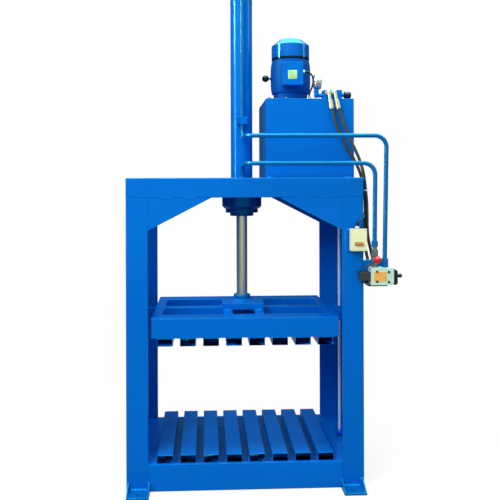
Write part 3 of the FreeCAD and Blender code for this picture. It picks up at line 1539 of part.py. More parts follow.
def make_valve_strap():
    """Bend the flat strap that lies under the valve and rises beside the post."""
    left = "(%s - strap_lead)" % VALVE_LEFT
    bend_x = "(%s - strap_bend)" % VALVE_LEFT
    right = "(%s + strap_reach)" % VALVE_LEFT
    level = "(valve_rise - strap_wall / 2)"
    high = "(valve_rise + strap_lift)"
    outline = [
        (left, high + " - strap_wall / 2"),
        (bend_x + " - strap_wall / 5", level + " - strap_wall / 2"),
        (right, level + " - strap_wall / 2"),
        (right, level + " + strap_wall / 2"),
        (bend_x + " + strap_wall / 5", level + " + strap_wall / 2"),
        (left + " + strap_wall / 2", high + " + strap_wall / 2"),
        (left, high + " + strap_wall / 2"),
    ]
    node("valve_strap", prism("ValveStrap", "XZ", [outline], "%s - strap_width" % FRONT, FRONT))


def make_valve_body():
    """Bore the valve body for its spool and close its right end with a turned cover."""
    body = new_body("ValveCast")
    outline = rectangle(VALVE_LEFT, VALVE_RIGHT, "valve_rise", VALVE_TOP)
    extrude(body, "XZ", [outline], VALVE_FRONT, VALVE_BACK)
    rounded(body, "valve_corner", "y", lambda middle: near(middle.x, VALVE_RIGHT))
    bore = rod("SpoolBore", "X", "spool_diameter + 2 * slide_fit", VALVE_LEFT + " - valve_depth",
               VALVE_RIGHT + " + valve_depth", VALVE_Y, SPOOL_Z)
    node("valve_body", cut("ValveBody", body, bore))

    end = "(%s + end_cap_length)" % VALVE_RIGHT
    low = "(valve_rise + end_cap_rise)"
    cover = new_body("EndCover")
    outline = rectangle(VALVE_FRONT, VALVE_BACK, low, low + " + end_cap_height")
    extrude(cover, "YZ", [outline], VALVE_RIGHT, end)
    rounded(cover, "end_cap_corner", "y", lambda middle: near(middle.x, end))
    stub = "end_stub_diameter / 2"
    tip = end + " + end_stub_length"
    boss = turned(
        "EndStub", "X",
        [
            (end + " - end_cap_length / 2", "0"),
            (end + " - end_cap_length / 2", stub),
            (tip + " - stub_chamfer", stub),
            (tip, stub + " - stub_chamfer"),
            (tip, "0"),
        ],
        "0", VALVE_Y, SPOOL_Z,
    )
    room = rod("SpoolRoom", "X", "spool_diameter + 2 * slide_fit", VALVE_RIGHT + " - seat_fit",
               "%s + spool_overrun + spool_stroke" % VALVE_RIGHT, VALVE_Y, SPOOL_Z)
    node("valve_end_cap", cut("ValveEndCap", fuse("EndCapBlank", cover, boss), room))


def make_lever_housing():
    """Mill the lever housing: a slot open at the top, and a cross bore for the pin."""
    half = "lever_box_depth / 2"
    y = ("%s - %s" % (VALVE_Y, half), "%s + %s" % (VALVE_Y, half))
    blank = new_body("LeverBoxCast")
    extrude(blank, "XZ", [rectangle(LEVER_BOX_LEFT, VALVE_LEFT, LEVER_BOX_LOW, LEVER_BOX_TOP)], *y)
    rounded(blank, "lever_box_wall", "y", lambda middle: near(middle.x, LEVER_BOX_LEFT))
    room = box(
        "LeverBoxRoom",
        (LEVER_BOX_LEFT + " + lever_box_wall", VALVE_LEFT + " + lever_box_wall"),
        (y[0] + " + lever_box_wall", y[1] + " - lever_box_wall"),
        (LEVER_BOX_LOW + " + lever_box_wall", LEVER_BOX_TOP + " + lever_box_wall"),
    )
    pin = rod("LeverPinBore", "Y", "lever_pin_diameter + 2 * slide_fit", y[0] + " + lever_box_wall / 4",
              y[1] + " - lever_box_wall / 4", LEVER_X, LEVER_Z)
    node("lever_housing", cut("LeverHousing", blank, room, pin))


def make_lever():
    """Forge the bent lever with its pin and the tongue that pushes the spool."""
    half = "lever_box_depth / 2 - lever_box_wall / 2"
    pin = rod("LeverPin", "Y", "lever_pin_diameter", "%s - (%s)" % (VALVE_Y, half),
              "%s + %s" % (VALVE_Y, half), LEVER_X, LEVER_Z)
    hub = rod("LeverHub", "Y", "lever_hub_diameter", "%s - lever_hub_diameter / 2" % VALVE_Y,
              "%s + lever_hub_diameter / 2" % VALVE_Y, LEVER_X, LEVER_Z)
    tongue = box(
        "LeverTongue",
        (LEVER_X + " - tongue_width / 4", LEVER_X + " + tongue_width / 4"),
        (VALVE_Y + " - tongue_width / 2", VALVE_Y + " + tongue_width / 2"),
        (SPOOL_Z, LEVER_Z),
    )
    tip = rod("LeverTip", "Y", "tongue_width", VALVE_Y + " - tongue_width / 2",
              VALVE_Y + " + tongue_width / 2", LEVER_X, SPOOL_Z)
    root = point(LEVER_X, VALVE_Y, LEVER_Z)
    elbow = point(LEVER_X, VALVE_Y, LEVER_Z + " + lever_neck")
    end = point(LEVER_X + " + lever_reach_x", VALVE_Y + " - lever_reach_y", LEVER_Z + " + lever_reach_z")
    handle = (end - elbow).normalize()
    path = route("LeverStem", [root, elbow, end], number("lever_neck / 2"))
    stem = swept("LeverStem", path, "lever_diameter")
    node("valve_lever", fuse("ValveLever", pin, hub, tongue, tip, stem))

    knob_ball = document.addObject("Part::Sphere", "LeverKnobBall")
    bind(knob_ball, Radius="lever_knob_diameter / 2")
    knob_ball.Placement.Base = end
    socket = bar("LeverKnobSocket", elbow, end + handle * 0.1, "lever_diameter + 2 * seat_fit")
    node("lever_knob", cut("LeverKnob", knob_ball, socket))


def make_spool():
    """Turn the valve spool: lands, oil waists and a notch for the lever's tongue."""
    land = "spool_diameter / 2"
    waist = "spool_waist / 2"
    left = LEVER_X + " - spool_tail"
    right = VALVE_RIGHT + " + spool_overrun"
    step = "(valve_width / 7)"
    profile = [(left, "0"), (left, land)]
    for i in (1, 3, 5):
        low = "%s + %s * %d" % (VALVE_LEFT, step, i)
        high = "%s + %s * %d" % (VALVE_LEFT, step, i + 1)
        profile += [(low, land), (low, waist), (high, waist), (high, land)]
    profile += [(right, land), (right, "0")]
    blank = turned("SpoolTurned", "X", profile, "0", VALVE_Y, SPOOL_Z)
    y = (VALVE_Y + " - spool_diameter", VALVE_Y + " + spool_diameter")
    snug = "(tongue_width / 2 + air_gap)"
    notch = box("SpoolNotch", ("%s - %s" % (LEVER_X, snug), "%s + %s" % (LEVER_X, snug)), y,
                (SPOOL_Z + " - tongue_width / 2 - air_gap", SPOOL_Z + " + spool_diameter"))
    wide = "(tongue_width * 1.1)"
    relief = box("SpoolRelief", ("%s - %s" % (LEVER_X, wide), "%s + %s" % (LEVER_X, wide)), y,
                 (SPOOL_Z + " + tongue_width / 6", SPOOL_Z + " + spool_diameter"))
    node("valve_spool", cut("ValveSpool", blank, notch, relief))


# --------------------------------------------------------------------------------------------
# Motor switch on the right post
# --------------------------------------------------------------------------------------------

SWITCH_LEFT = "(frame_width / 2 - switch_inset)"
SWITCH_RIGHT = "(%s + switch_width)" % SWITCH_LEFT
SWITCH_TOP = "(switch_low + switch_height)"
SWITCH_BACK = "(%s - switch_plate_wall)" % FRONT
SWITCH_FACE = "(%s - switch_depth)" % SWITCH_BACK
SWITCH_Y = "(%s - switch_depth * 0.42)" % SWITCH_BACK
SWITCH_GLAND_X = "(%s + switch_width * 0.48)" % SWITCH_LEFT
TOGGLE_X = "(%s + switch_width * 0.524)" % SWITCH_LEFT
TOGGLE_Y = "(%s + toggle_height / 3)" % SWITCH_FACE
TOGGLE_Z = "(switch_low + toggle_rise)"


def make_switch():
    """Mould the switch box with its cable gland and the recess of its toggle bar."""
    plate_left = SIDE + " - switch_plate_width"
    plate_low = "switch_low - switch_plate_drop"
    plate_high = plate_low + " + switch_plate_height"
    plate = box("SwitchPlate", (plate_left, SIDE), (SWITCH_BACK, FRONT), (plate_low, plate_high))
    node("switch_plate", plate)

    case = new_body("SwitchCase")
    outline = rectangle(SWITCH_LEFT, SWITCH_RIGHT, "switch_low", SWITCH_TOP)
    extrude(case, "XZ", [outline], SWITCH_FACE, SWITCH_BACK)
    rounded(case, "switch_corner", "y")
    gland = rod("SwitchGland", "Z", "gland_nut", SWITCH_TOP, SWITCH_TOP + " + switch_gland_rise",
                SWITCH_GLAND_X, SWITCH_Y)
    half = "(toggle_width / 2 + air_gap)"
    tall = "(toggle_height / 2 + 2 * air_gap)"
    recess = box(
        "ToggleRecess",
        ("%s - %s" % (TOGGLE_X, half), "%s + %s" % (TOGGLE_X, half)),
        (SWITCH_FACE + " - toggle_reach", "%s + %s" % (TOGGLE_Y, tall)),
        ("%s - %s" % (TOGGLE_Z, tall), "%s + %s" % (TOGGLE_Z, tall)),
    )
    pin_half = "(toggle_width / 2 + toggle_pin)"
    bore = rod("ToggleBore", "X", "toggle_pin + 2 * slide_fit", "%s - %s" % (TOGGLE_X, pin_half),
               "%s + %s" % (TOGGLE_X, pin_half), TOGGLE_Y, TOGGLE_Z)
    node("switch_box", cut("SwitchBox", fuse("SwitchBlank", case, gland), recess, bore))

    span = ("%s - toggle_width / 2" % TOGGLE_X, "%s + toggle_width / 2" % TOGGLE_X)
    hub = rod("ToggleHub", "X", "toggle_height", span[0], span[1], TOGGLE_Y, TOGGLE_Z)
    nose = box("ToggleNose", span, (SWITCH_FACE + " - toggle_reach", TOGGLE_Y),
               (TOGGLE_Z + " - toggle_height / 3", TOGGLE_Z + " + toggle_height / 3"))
    pin_half = "(toggle_width / 2 + toggle_pin * 0.8)"
    pin = rod("TogglePin", "X", "toggle_pin", "%s - %s" % (TOGGLE_X, pin_half),
              "%s + %s" % (TOGGLE_X, pin_half), TOGGLE_Y, TOGGLE_Z)
    node("switch_toggle", fuse("SwitchToggle", hub, nose, pin))


def export_nodes():
    """Check every feature, then write each sub-part to its own file."""
    document.recompute()
    for feature in document.Objects:
        if any(word in ("Invalid", "Error") for word in feature.State):
            raise RuntimeError("%s could not be built: %s" % (feature.Name, feature.State))
    for item in nodes:
        if item.Shape.isNull() or not item.Shape.isValid():
            raise RuntimeError("%s has no valid shape" % item.Label)
    os.makedirs("parts", exist_ok=True)
    for item in nodes:
        item.Shape.exportStep("parts/%s.step" % item.Label)


make_side_channels()
make_top_beams()
make_corner_gussets()
make_base_beams()
make_bed_deck()
node("bed_slats", make_slats("BedSlats", BED, "frame_depth / 2 - slat_setback"))
make_anchor_feet()
make_guide_rods()
make_cross_channels()
make_mount_plate()
make_barrel()
make_flange()
make_flange_bolts()
make_piston()
make_platen()
make_guide_lugs()
make_tank()
make_motor()
make_cowl()
make_rotor()
make_pump()
make_terminal_box()
make_side_knob()
make_valve_block()
make_relief_knob()
make_gauge()
make_pipes()
make_hoses()
make_cable()
make_valve_bracket()
make_valve_strap()
make_valve_body()
make_lever_housing()
make_lever()
make_spool()
make_switch()
export_nodes()
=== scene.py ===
"""Vertical hydraulic baler: paint, metal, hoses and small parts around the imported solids.

Every size is in metres in the part's own frame: +Z up, X to the right, the front faces -Y.
Each sub-assembly of the machine is one class, and each surface finish is one small class.
"""

from __future__ import annotations

import json
import logging
import math
from collections.abc import Iterable, Sequence
from dataclasses import dataclass, field
from enum import Enum

import bmesh
import bpy
import numpy as np
from mathutils import Matrix, Vector

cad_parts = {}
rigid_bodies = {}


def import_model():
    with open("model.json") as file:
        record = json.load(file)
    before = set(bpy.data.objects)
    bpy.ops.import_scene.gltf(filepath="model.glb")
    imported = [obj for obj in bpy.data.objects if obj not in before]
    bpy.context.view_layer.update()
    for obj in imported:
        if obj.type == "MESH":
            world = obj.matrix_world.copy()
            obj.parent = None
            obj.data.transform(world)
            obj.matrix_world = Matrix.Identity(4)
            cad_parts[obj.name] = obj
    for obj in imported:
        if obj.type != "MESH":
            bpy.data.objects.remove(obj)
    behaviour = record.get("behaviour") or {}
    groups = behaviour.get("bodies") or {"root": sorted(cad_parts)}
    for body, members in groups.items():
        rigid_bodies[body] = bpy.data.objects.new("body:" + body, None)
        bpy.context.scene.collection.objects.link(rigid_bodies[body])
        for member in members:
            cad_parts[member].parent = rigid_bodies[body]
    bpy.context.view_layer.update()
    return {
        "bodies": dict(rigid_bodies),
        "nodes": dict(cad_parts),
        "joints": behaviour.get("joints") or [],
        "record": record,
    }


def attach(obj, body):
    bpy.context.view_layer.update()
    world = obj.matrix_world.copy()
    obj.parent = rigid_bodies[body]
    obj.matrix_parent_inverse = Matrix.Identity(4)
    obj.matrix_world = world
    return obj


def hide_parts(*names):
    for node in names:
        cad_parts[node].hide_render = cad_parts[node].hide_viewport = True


LOG = logging.getLogger("baler")

Point = tuple[float, float, float]
Tree = bpy.types.NodeTree
Socket = bpy.types.NodeSocket
# A closed surface: its points, and blocks of faces that each have one row of numbers a face.
Skin = tuple[np.ndarray, list[np.ndarray]]

UP = (0.0, 0.0, 1.0)
DOWN = (0.0, 0.0, -1.0)
RIGHT = (1.0, 0.0, 0.0)
FRONT = (0.0, -1.0, 0.0)
BACK = (0.0, 1.0, 0.0)
LEFT_RIGHT = (-1.0, 1.0)
CORNERS = tuple((x, y) for x in LEFT_RIGHT for y in LEFT_RIGHT)

WHITE = (1.0, 1.0, 1.0, 1.0)
# Nearly all values of a noise texture lie between these two.
NOISE_SPREAD = (0.3, 0.7)
# No finish is smoother than this anywhere.
LEAST_ROUGHNESS = 0.02


# ---------------------------------------------------------------------------------------------
# Colour and shader nodes
# ---------------------------------------------------------------------------------------------


def linear(hex_colour: str) -> tuple[float, float, float, float]:
    """Turns an sRGB hex colour into the linear colour that a shader takes.

    Args:
        hex_colour: a hash sign and six hex digits.

    Returns:
        Red, green and blue, linear, and an alpha of one.
    """
    digits = hex_colour.lstrip("#")
    channels = [int(digits[i : i + 2], 16) / 255.0 for i in (0, 2, 4)]
    red, green, blue = (
        c / 12.92 if c <= 0.04045 else ((c + 0.055) / 1.055) ** 2.4 for c in channels
    )
    return red, green, blue, 1.0


def add_node(
    tree: Tree, kind: str, sockets: dict[str | int, object] | None = None, **settings: object
) -> bpy.types.Node:
    """Adds one shader node with its settings, values and links.

    Args:
        tree: the node tree that takes the node.
        kind: the node's type name.
        sockets: input name or number, to a value or to another node's output.
        settings: properties of the node itself.

    Returns:
        The new node.
    """
    node = tree.nodes.new(kind)
    for name, value in settings.items():
        setattr(node, name, value)
    for socket, value in (sockets or {}).items():
        if isinstance(value, Socket):
            tree.links.new(value, node.inputs[socket])
        else:
            node.inputs[socket].default_value = value
    return node


def noise(
    tree: Tree,
    place: Socket,
    size: float,
    stretch: Point = (1.0, 1.0, 1.0),
    detail: float = 2.0,
) -> Socket:
    """Makes noise whose lumps have a real size.

    Args:
        tree: the node tree that takes the nodes.
        place: the coordinates' socket, in metres.
        size: the lumps' size in metres; the noise's scale is one over it.
        stretch: a number below 1 on an axis draws the lumps out along it.
        detail: how many finer layers lie on the lumps.

    Returns:
        The socket of the noise, from 0 to 1.
    """
    spread = add_node(tree, "ShaderNodeMapping", {"Vector": place, "Scale": stretch})
    lumps = add_node(
        tree,
        "ShaderNodeTexNoise",
        {"Vector": spread.outputs["Vector"], "Scale": 1.0 / size, "Detail": detail},
    )
    return lumps.outputs["Fac"]


# ---------------------------------------------------------------------------------------------
# Finishes
# ---------------------------------------------------------------------------------------------


@dataclass(frozen=True)
class Finish:
    """One surface finish: a base colour under a clear or bare surface.

    The colour drifts between the two colours over tone_size, and so does the roughness. The
    surface is uneven by grain_depth over grain_size. All these are real sizes in metres. Grain
    finer than a millimetre or two, as on plastics and bar, is drawn that coarse, so that it
    shows as a slight unrest in the gloss.
    """

    name: str
    colour: str
    deep_colour: str
    slot: str
    metallic: float = 0.0
    roughness: float = 0.4
    ior: float = 1.5
    specular: float = 0.5
    specular_tint: str = "#FFFFFF"
    clear: float = 0.0
    tone_size: float = 0.25
    tone_stretch: Point = (1.0, 1.0, 1.0)
    grain_size: float = 0.004
    grain_depth: float = 0.00004
    grain_stretch: Point = (1.0, 1.0, 1.0)
    roughness_drift: float = 0.06

    def material(self) -> bpy.types.Material:
        """Returns the material, made on its first use."""
        found = bpy.data.materials.get(self.name)
        return found if found is not None else self.build()

    def overlays(self, tree: Tree, place: Socket) -> list[tuple[Socket, str]]:
        """Returns the colours over parts of the piece, each with its share: here none."""
        return []

    def relief_of(self, tree: Tree, place: Socket) -> Socket:
        """Returns the bumped normal of the finish's fine grain.

        Args:
            tree: the material's node tree.
            place: the coordinates' socket.

        Returns:
            The normal's socket.
        """
        grain = noise(tree, place, self.grain_size, self.grain_stretch)
        bump = add_node(
            tree, "ShaderNodeBump", {"Height": grain, "Distance": self.grain_depth}
        )
        return bump.outputs["Normal"]

    def build(self) -> bpy.types.Material:
        """Makes the shader: tone noise into colour and roughness, overlays, grain into the bump.

        Returns:
            The new material.
        """
        made = bpy.data.materials.new(self.name)
        made.use_nodes = True
        tree = made.node_tree
        tree.nodes.clear()
        place = add_node(tree, "ShaderNodeTexCoord").outputs["Object"]
        tone = noise(tree, place, self.tone_size, self.tone_stretch, detail=3.0)
        # A mix node's inputs 0, 6 and 7 are its share and its two colours, and output 2 is mixed.
        colour = add_node(
            tree,
            "ShaderNodeMix",
            {0: tone, 6: linear(self.deep_colour), 7: linear(self.colour)},
            data_type="RGBA",
        )
        for share, over in self.overlays(tree, place):
            colour = add_node(
                tree,
                "ShaderNodeMix",
                {0: share, 6: colour.outputs[2], 7: linear(over)},
                data_type="RGBA",
            )
        roughness = add_node(
            tree,
            "ShaderNodeMapRange",
            {
                "Value": tone,
                "From Min": NOISE_SPREAD[0],
                "From Max": NOISE_SPREAD[1],
                "To Min": max(LEAST_ROUGHNESS, self.roughness - self.roughness_drift),
                "To Max": self.roughness + self.roughness_drift,
            },
        )
        shader = add_node(
            tree,
            "ShaderNodeBsdfPrincipled",
            {
                "Base Color": colour.outputs[2],
                "Metallic": self.metallic,
                "Roughness": roughness.outputs["Result"],
                "IOR": self.ior,
                "Specular IOR Level": self.specular,
                "Specular Tint": linear(self.specular_tint),
                "Transmission Weight": self.clear,
                "Normal": self.relief_of(tree, place),
            },
        )
        add_node(tree, "ShaderNodeOutputMaterial", {"Surface": shader.outputs["BSDF"]})
        return made


@dataclass(frozen=True)
class Enamel(Finish):
    """Sprayed enamel: a fine orange peel over the long, shallow waves of rolled steel."""

    wave_size: float = 0.09
    wave_depth: float = 0.0006

    def relief_of(self, tree: Tree, place: Socket) -> Socket:
        """Returns the normal of the steel's waves with the paint's peel on top.

        Args:
            tree: the material's node tree.
            place: the coordinates' socket.

        Returns:
            The normal's socket.
        """
        waves = noise(tree, place, self.wave_size, detail=1.0)
        under = add_node(
            tree, "ShaderNodeBump", {"Height": waves, "Distance": self.wave_depth}
        )
        peel = noise(tree, place, self.grain_size, self.grain_stretch)
        over = add_node(
            tree,
            "ShaderNodeBump",
            {"Height": peel, "Distance": self.grain_depth, "Normal": under.outputs["Normal"]},
        )
        return over.outputs["Normal"]


@dataclass(frozen=True)
class GapShadowEnamel(Enamel):
    """Enamel with one level band painted dark: a painted shadow in place of the gap between two
    castings.
    """

    band: tuple[float, float] = (0.0, 0.0)
    # The painted shadow's colour: dark navy, standing in for the shade in the gap.
    gap_shadow_colour: str = "#04102A"

    def overlays(self, tree: Tree, place: Socket) -> list[tuple[Socket, str]]:
        """Returns the painted shadow's colour, which lies between the band's two heights.

        Args:
            tree: the material's node tree.
            place: the coordinates' socket.

        Returns:
            The share's socket with the colour.
        """
        low, high = self.band
        height = add_node(tree, "ShaderNodeSeparateXYZ", {"Vector": place}).outputs["Z"]
        inside = add_node(
            tree,
            "ShaderNodeMath",
            {0: height, 1: (low + high) / 2.0, 2: (high - low) / 2.0},
            operation="COMPARE",
        )
        return [(inside.outputs["Value"], self.gap_shadow_colour)]


@dataclass(frozen=True)
class SlatShadeEnamel(Enamel):
    """Enamel with a painted shade over a rectangle round the middle, where the slats above shade
    it.
    """

    reach: tuple[float, float] = (0.440, 0.303)
    # Painted shade: a dark navy for the slats' shade on the deck.
    slat_shade: str = "#002E80"

    def overlays(self, tree: Tree, place: Socket) -> list[tuple[Socket, str]]:
        """Returns the painted shade's colour, which lies within reach of the middle both ways.

        Args:
            tree: the material's node tree.
            place: the coordinates' socket.

        Returns:
            The share's socket with the colour.
        """
        parts = add_node(tree, "ShaderNodeSeparateXYZ", {"Vector": place}).outputs
        across, along = (
            add_node(
                tree, "ShaderNodeMath", {0: parts[axis], 1: 0.0, 2: limit}, operation="COMPARE"
            ).outputs["Value"]
            for axis, limit in zip("XY", self.reach)
        )
        inside = add_node(tree, "ShaderNodeMath", {0: across, 1: along}, operation="MULTIPLY")
        return [(inside.outputs["Value"], self.slat_shade)]


@dataclass(frozen=True)
class GuideFinish(Finish):
    """Bright guide rod between two painted brackets."""

    bare: tuple[float, float] = (0.1655, 1.4795)
    paint: str = "#0060C0"

    def overlays(self, tree: Tree, place: Socket) -> list[tuple[Socket, str]]:
        """Returns the brackets' paint, which lies below the bare rod and above it.

        Args:
            tree: the material's node tree.
            place: the coordinates' socket.

        Returns:
            The two shares' sockets, each with the paint's colour.
        """
        height = add_node(tree, "ShaderNodeSeparateXYZ", {"Vector": place}).outputs["Z"]
        tests = (
            add_node(tree, "ShaderNodeMath", {0: height, 1: level}, operation=test)
            for test, level in zip(("LESS_THAN", "GREATER_THAN"), self.bare)
        )
        return [(test.outputs["Value"], self.paint) for test in tests]


@dataclass(frozen=True)
class CaseFinish(Finish):
    """Moulded case in two parts: a black base at the back and a pale cover in front of it."""

    base_colour: str = "#10161A"
    seam: float = -0.3405
    top: float = 1.3138

    def overlays(self, tree: Tree, place: Socket) -> list[tuple[Socket, str]]:
        """Returns the base's colour, which lies behind the seam and above the top.

        Args:
            tree: the material's node tree.
            place: the coordinates' socket.

        Returns:
            The two shares' sockets, each with the base's colour.
        """
        parts = add_node(tree, "ShaderNodeSeparateXYZ", {"Vector": place}).outputs
        tests = (
            add_node(
                tree, "ShaderNodeMath", {0: parts[axis], 1: limit}, operation="GREATER_THAN"
            )
            for axis, limit in (("Y", self.seam), ("Z", self.top))
        )
        return [(test.outputs["Value"], self.base_colour) for test in tests]


class Surface(Enum):
    """The machine's finishes, each named for its surface, and some for the shade painted on them.
    """

    # Alkyd machine enamel, sprayed on rolled steel: deep gloss, with blue-green highlights.
    ENAMEL = Enamel(
        "blue_machine_enamel", "#006AD2", "#005FC0", "painted_blue",
        roughness=0.2, specular=0.44, specular_tint="#58FFCC", tone_stretch=(0.35, 1.0, 1.0),
    )
    # The same enamel under the bed's slats, a little rougher, with painted shade where the slats
    # shade it.
    DECK_ENAMEL = SlatShadeEnamel(
        "enamel_on_deck", "#0070DC", "#0064C8", "painted_blue",
        roughness=0.26, specular=0.44, specular_tint="#58FFCC", tone_stretch=(0.35, 1.0, 1.0),
    )
    # The same enamel in a darker blue with a stronger gloss, on turned parts, pipes, feet, screws
    # and welds.
    DEEP_ENAMEL = Enamel(
        "deep_blue_enamel", "#0062B2", "#00549E", "painted_blue",
        roughness=0.18, specular=0.8, specular_tint="#70FFD4", tone_size=0.05,
    )
    # The same enamel painted darker round the rod seal: painted shade of the top beam over the
    # flange and gland.
    BEAM_SHADED_ENAMEL = Enamel(
        "oiled_blue_enamel", "#003C8C", "#002A6C", "painted_blue",
        roughness=0.2, specular=0.5, specular_tint="#4CF2FF", tone_size=0.05,
    )
    # The same enamel on cast iron: duller, streaked darker up and down at random as a painted
    # shade of cooling fins, and with a painted shadow band at its top in place of the gap under
    # the cowl.
    CAST_ENAMEL = GapShadowEnamel(
        "enamel_on_casting", "#005CAE", "#002076", "painted_blue",
        roughness=0.5, specular=0.15, specular_tint="#4CF2FF", tone_size=0.03,
        tone_stretch=(1.0, 1.0, 0.06), grain_size=0.003, grain_depth=0.00012,
        # Painted shadow: this band at the housing's top is painted dark in place of the gap under
        # the cowl.
        band=(2.2200, 2.2312),
    )
    # The enamel on the pressed cowl, with a painted shadow along its lip in place of the gap above
    # the housing.
    COWL_ENAMEL = GapShadowEnamel(
        "enamel_on_cowl", "#0062C4", "#0054B0", "painted_blue",
        roughness=0.14, specular=0.7, specular_tint="#80FFCC", tone_size=0.08,
        # Painted shadow: the band along the cowl's lip is painted dark.
        band=(2.2200, 2.2312),
    )
    # Hard chrome on a ground rod, filmed with oil: a mirror with faint lines along the rod.
    ROD_CHROME = Finish(
        "hard_chrome_rod", "#DCE0C6", "#BFC6AA", "rod_chrome", metallic=0.85, roughness=0.16,
        grain_size=0.0015, grain_depth=0.00001, grain_stretch=(1.0, 1.0, 0.05),
    )
    # Cold drawn steel bar: satin, with fine lines along the bar.
    DRAWN_STEEL = Finish(
        "cold_drawn_steel", "#C6C4BC", "#A19F98", "plain_steel", metallic=1.0, roughness=0.34,
        grain_size=0.002, grain_depth=0.00002, grain_stretch=(1.0, 1.0, 0.05),
    )
    # Bright drawn bar of the guide rods, wiped with oil, in painted brackets.
    GUIDE_STEEL = GuideFinish(
        "bright_guide_bar", "#E2EEF0", "#C4D4DA", "plain_steel", metallic=0.35, roughness=0.25,
        grain_size=0.002, grain_depth=0.00002, grain_stretch=(1.0, 1.0, 0.05),
    )
    # Zinc plate with a yellow passivate on turned fittings: bright and slightly cloudy.
    ZINC = Finish(
        "yellow_zinc_plate", "#F0EDC8", "#D8D6A4", "zinc_fitting",
        metallic=0.75, roughness=0.3, tone_size=0.01,
    )
    # Zinc plate on bolts: grey and bright.
    BOLT_ZINC = Finish(
        "zinc_plated_bolt", "#D2D5D4", "#B4B8B8", "zinc_fitting",
        metallic=1.0, roughness=0.3, tone_size=0.006,
    )
    # Black oxide on socket screws.
    BLACK_OXIDE = Finish(
        "black_oxide_screw", "#24262C", "#16181C", "dark_fitting",
        metallic=0.5, roughness=0.35, tone_size=0.004,
    )
    # Phosphated steel: dark grey-green and dull.
    PHOSPHATE = Finish(
        "phosphated_steel", "#3E4A46", "#2C3634", "dark_fitting",
        metallic=0.4, roughness=0.42, tone_size=0.02,
    )
    # Plated adapter: grey-green and brighter than the phosphated parts.
    GREY_PLATE = Finish(
        "grey_plated_adapter", "#7E948C", "#566A64", "dark_fitting",
        metallic=0.6, roughness=0.3, tone_size=0.015,
    )
    # Valve casting in pale primer: satin over a fine sand-cast grain.
    PALE_CASTING = Finish(
        "pale_painted_casting", "#CCEEDC", "#B8E0CC", "valve_casting", roughness=0.42,
        grain_size=0.0025, grain_depth=0.00012, tone_size=0.03,
    )
    # Phenolic plastic: black and glossy, as moulded.
    BLACK_PLASTIC = Finish(
        "black_phenolic", "#0B0C10", "#050608", "black_plastic", roughness=0.18,
        tone_size=0.02, grain_size=0.002, grain_depth=0.00002,
    )
    # Red phenolic ball: glossy, as moulded.
    RED_PLASTIC = Finish(
        "red_phenolic", "#DA161C", "#BE0E14", "red_plastic", roughness=0.16,
        tone_size=0.02, grain_size=0.002, grain_depth=0.00002,
    )
    # ABS switch case: cream cover with a green cast on a black base, satin.
    SWITCH_CASE = CaseFinish(
        "two_part_switch_case", "#EEF4C6", "#E0EAB6", "cream_plastic",
        roughness=0.4, tone_size=0.05, grain_size=0.0012, grain_depth=0.00004,
    )
    # Switch bar in brown thermoplastic.
    BROWN_PLASTIC = Finish(
        "brown_thermoplastic", "#C08A48", "#A87438", "brown_plastic",
        roughness=0.4, tone_size=0.02,
    )
    # Nylon cable gland and tie: pale and waxy.
    NYLON = Finish(
        "natural_nylon", "#E9F0EA", "#D5DFD8", "cream_plastic",
        roughness=0.45, tone_size=0.01,
    )
    # Nitrile hose cover: black with an olive bloom and a fine cloth-wrapped grain.
    HOSE_RUBBER = Finish(
        "nitrile_hose_cover", "#4A4D3A", "#22241B", "hose_rubber", roughness=0.4,
        grain_size=0.0022, grain_depth=0.00014, tone_size=0.03,
    )
    # Soft vinyl sheath of the motor lead.
    SHEATH = Finish(
        "vinyl_sheath", "#101114", "#08090B", "cable_sheath", roughness=0.36,
        tone_size=0.02, grain_size=0.002, grain_depth=0.00005,
    )
    # Drawn steel gauge case in nickel: a mirror of the room above it and the tank below it.
    GAUGE_STEEL = Finish(
        "nickel_gauge_case", "#D6D7D0", "#B8BAB2", "gauge_metal",
        metallic=0.9, roughness=0.3, tone_size=0.02,
    )
    # White enamelled dial.
    DIAL_WHITE = Finish(
        "dial_white", "#F7F7F2", "#EFEFE8", "gauge_metal", roughness=0.5, tone_size=0.02,
    )
    # Black printing ink on the dial.
    DIAL_INK = Finish(
        "dial_ink", "#141416", "#0C0C0E", "black_plastic", roughness=0.6, tone_size=0.004,
    )
    # Clear window of the gauge.
    WINDOW = Finish(
        "clear_window", "#FFFFFF", "#F8FBFA", "gauge_metal", roughness=0.03,
        roughness_drift=0.0, clear=1.0, grain_depth=0.000002,
    )
    # Yellow anodised blank plate on the motor's box.
    MOTOR_PLATE = Finish(
        "yellow_anodised_plate", "#E4F060", "#6CD8B4", "gauge_metal",
        metallic=0.2, roughness=0.35, tone_size=0.014,
    )
    # Orange-yellow anodised blank plate on the valve.
    VALVE_PLATE = Finish(
        "orange_anodised_plate", "#FFCA66", "#F2AE4C", "gauge_metal",
        metallic=0.2, roughness=0.38, tone_size=0.015,
    )
    # Grey iron as cast.
    IRON = Finish(
        "grey_cast_iron", "#5A5B5D", "#47484A", "pump_casting", metallic=0.7, roughness=0.6,
        grain_size=0.003, grain_depth=0.0002, tone_size=0.03,
    )
    # Moulded fan, matt.
    FAN_PLASTIC = Finish(
        "moulded_fan", "#16171A", "#0E0F11", "fan_plastic", roughness=0.5, tone_size=0.03,
    )

    @property
    def material(self) -> bpy.types.Material:
        """The finish as a Blender material."""
        return self.value.material()


# ---------------------------------------------------------------------------------------------
# Shapes
# ---------------------------------------------------------------------------------------------


def unit(vector: Sequence[float] | np.ndarray) -> np.ndarray:
    """Returns a vector of length one in the given direction."""
    values = np.asarray(vector, dtype=float)
    return values / np.linalg.norm(values)


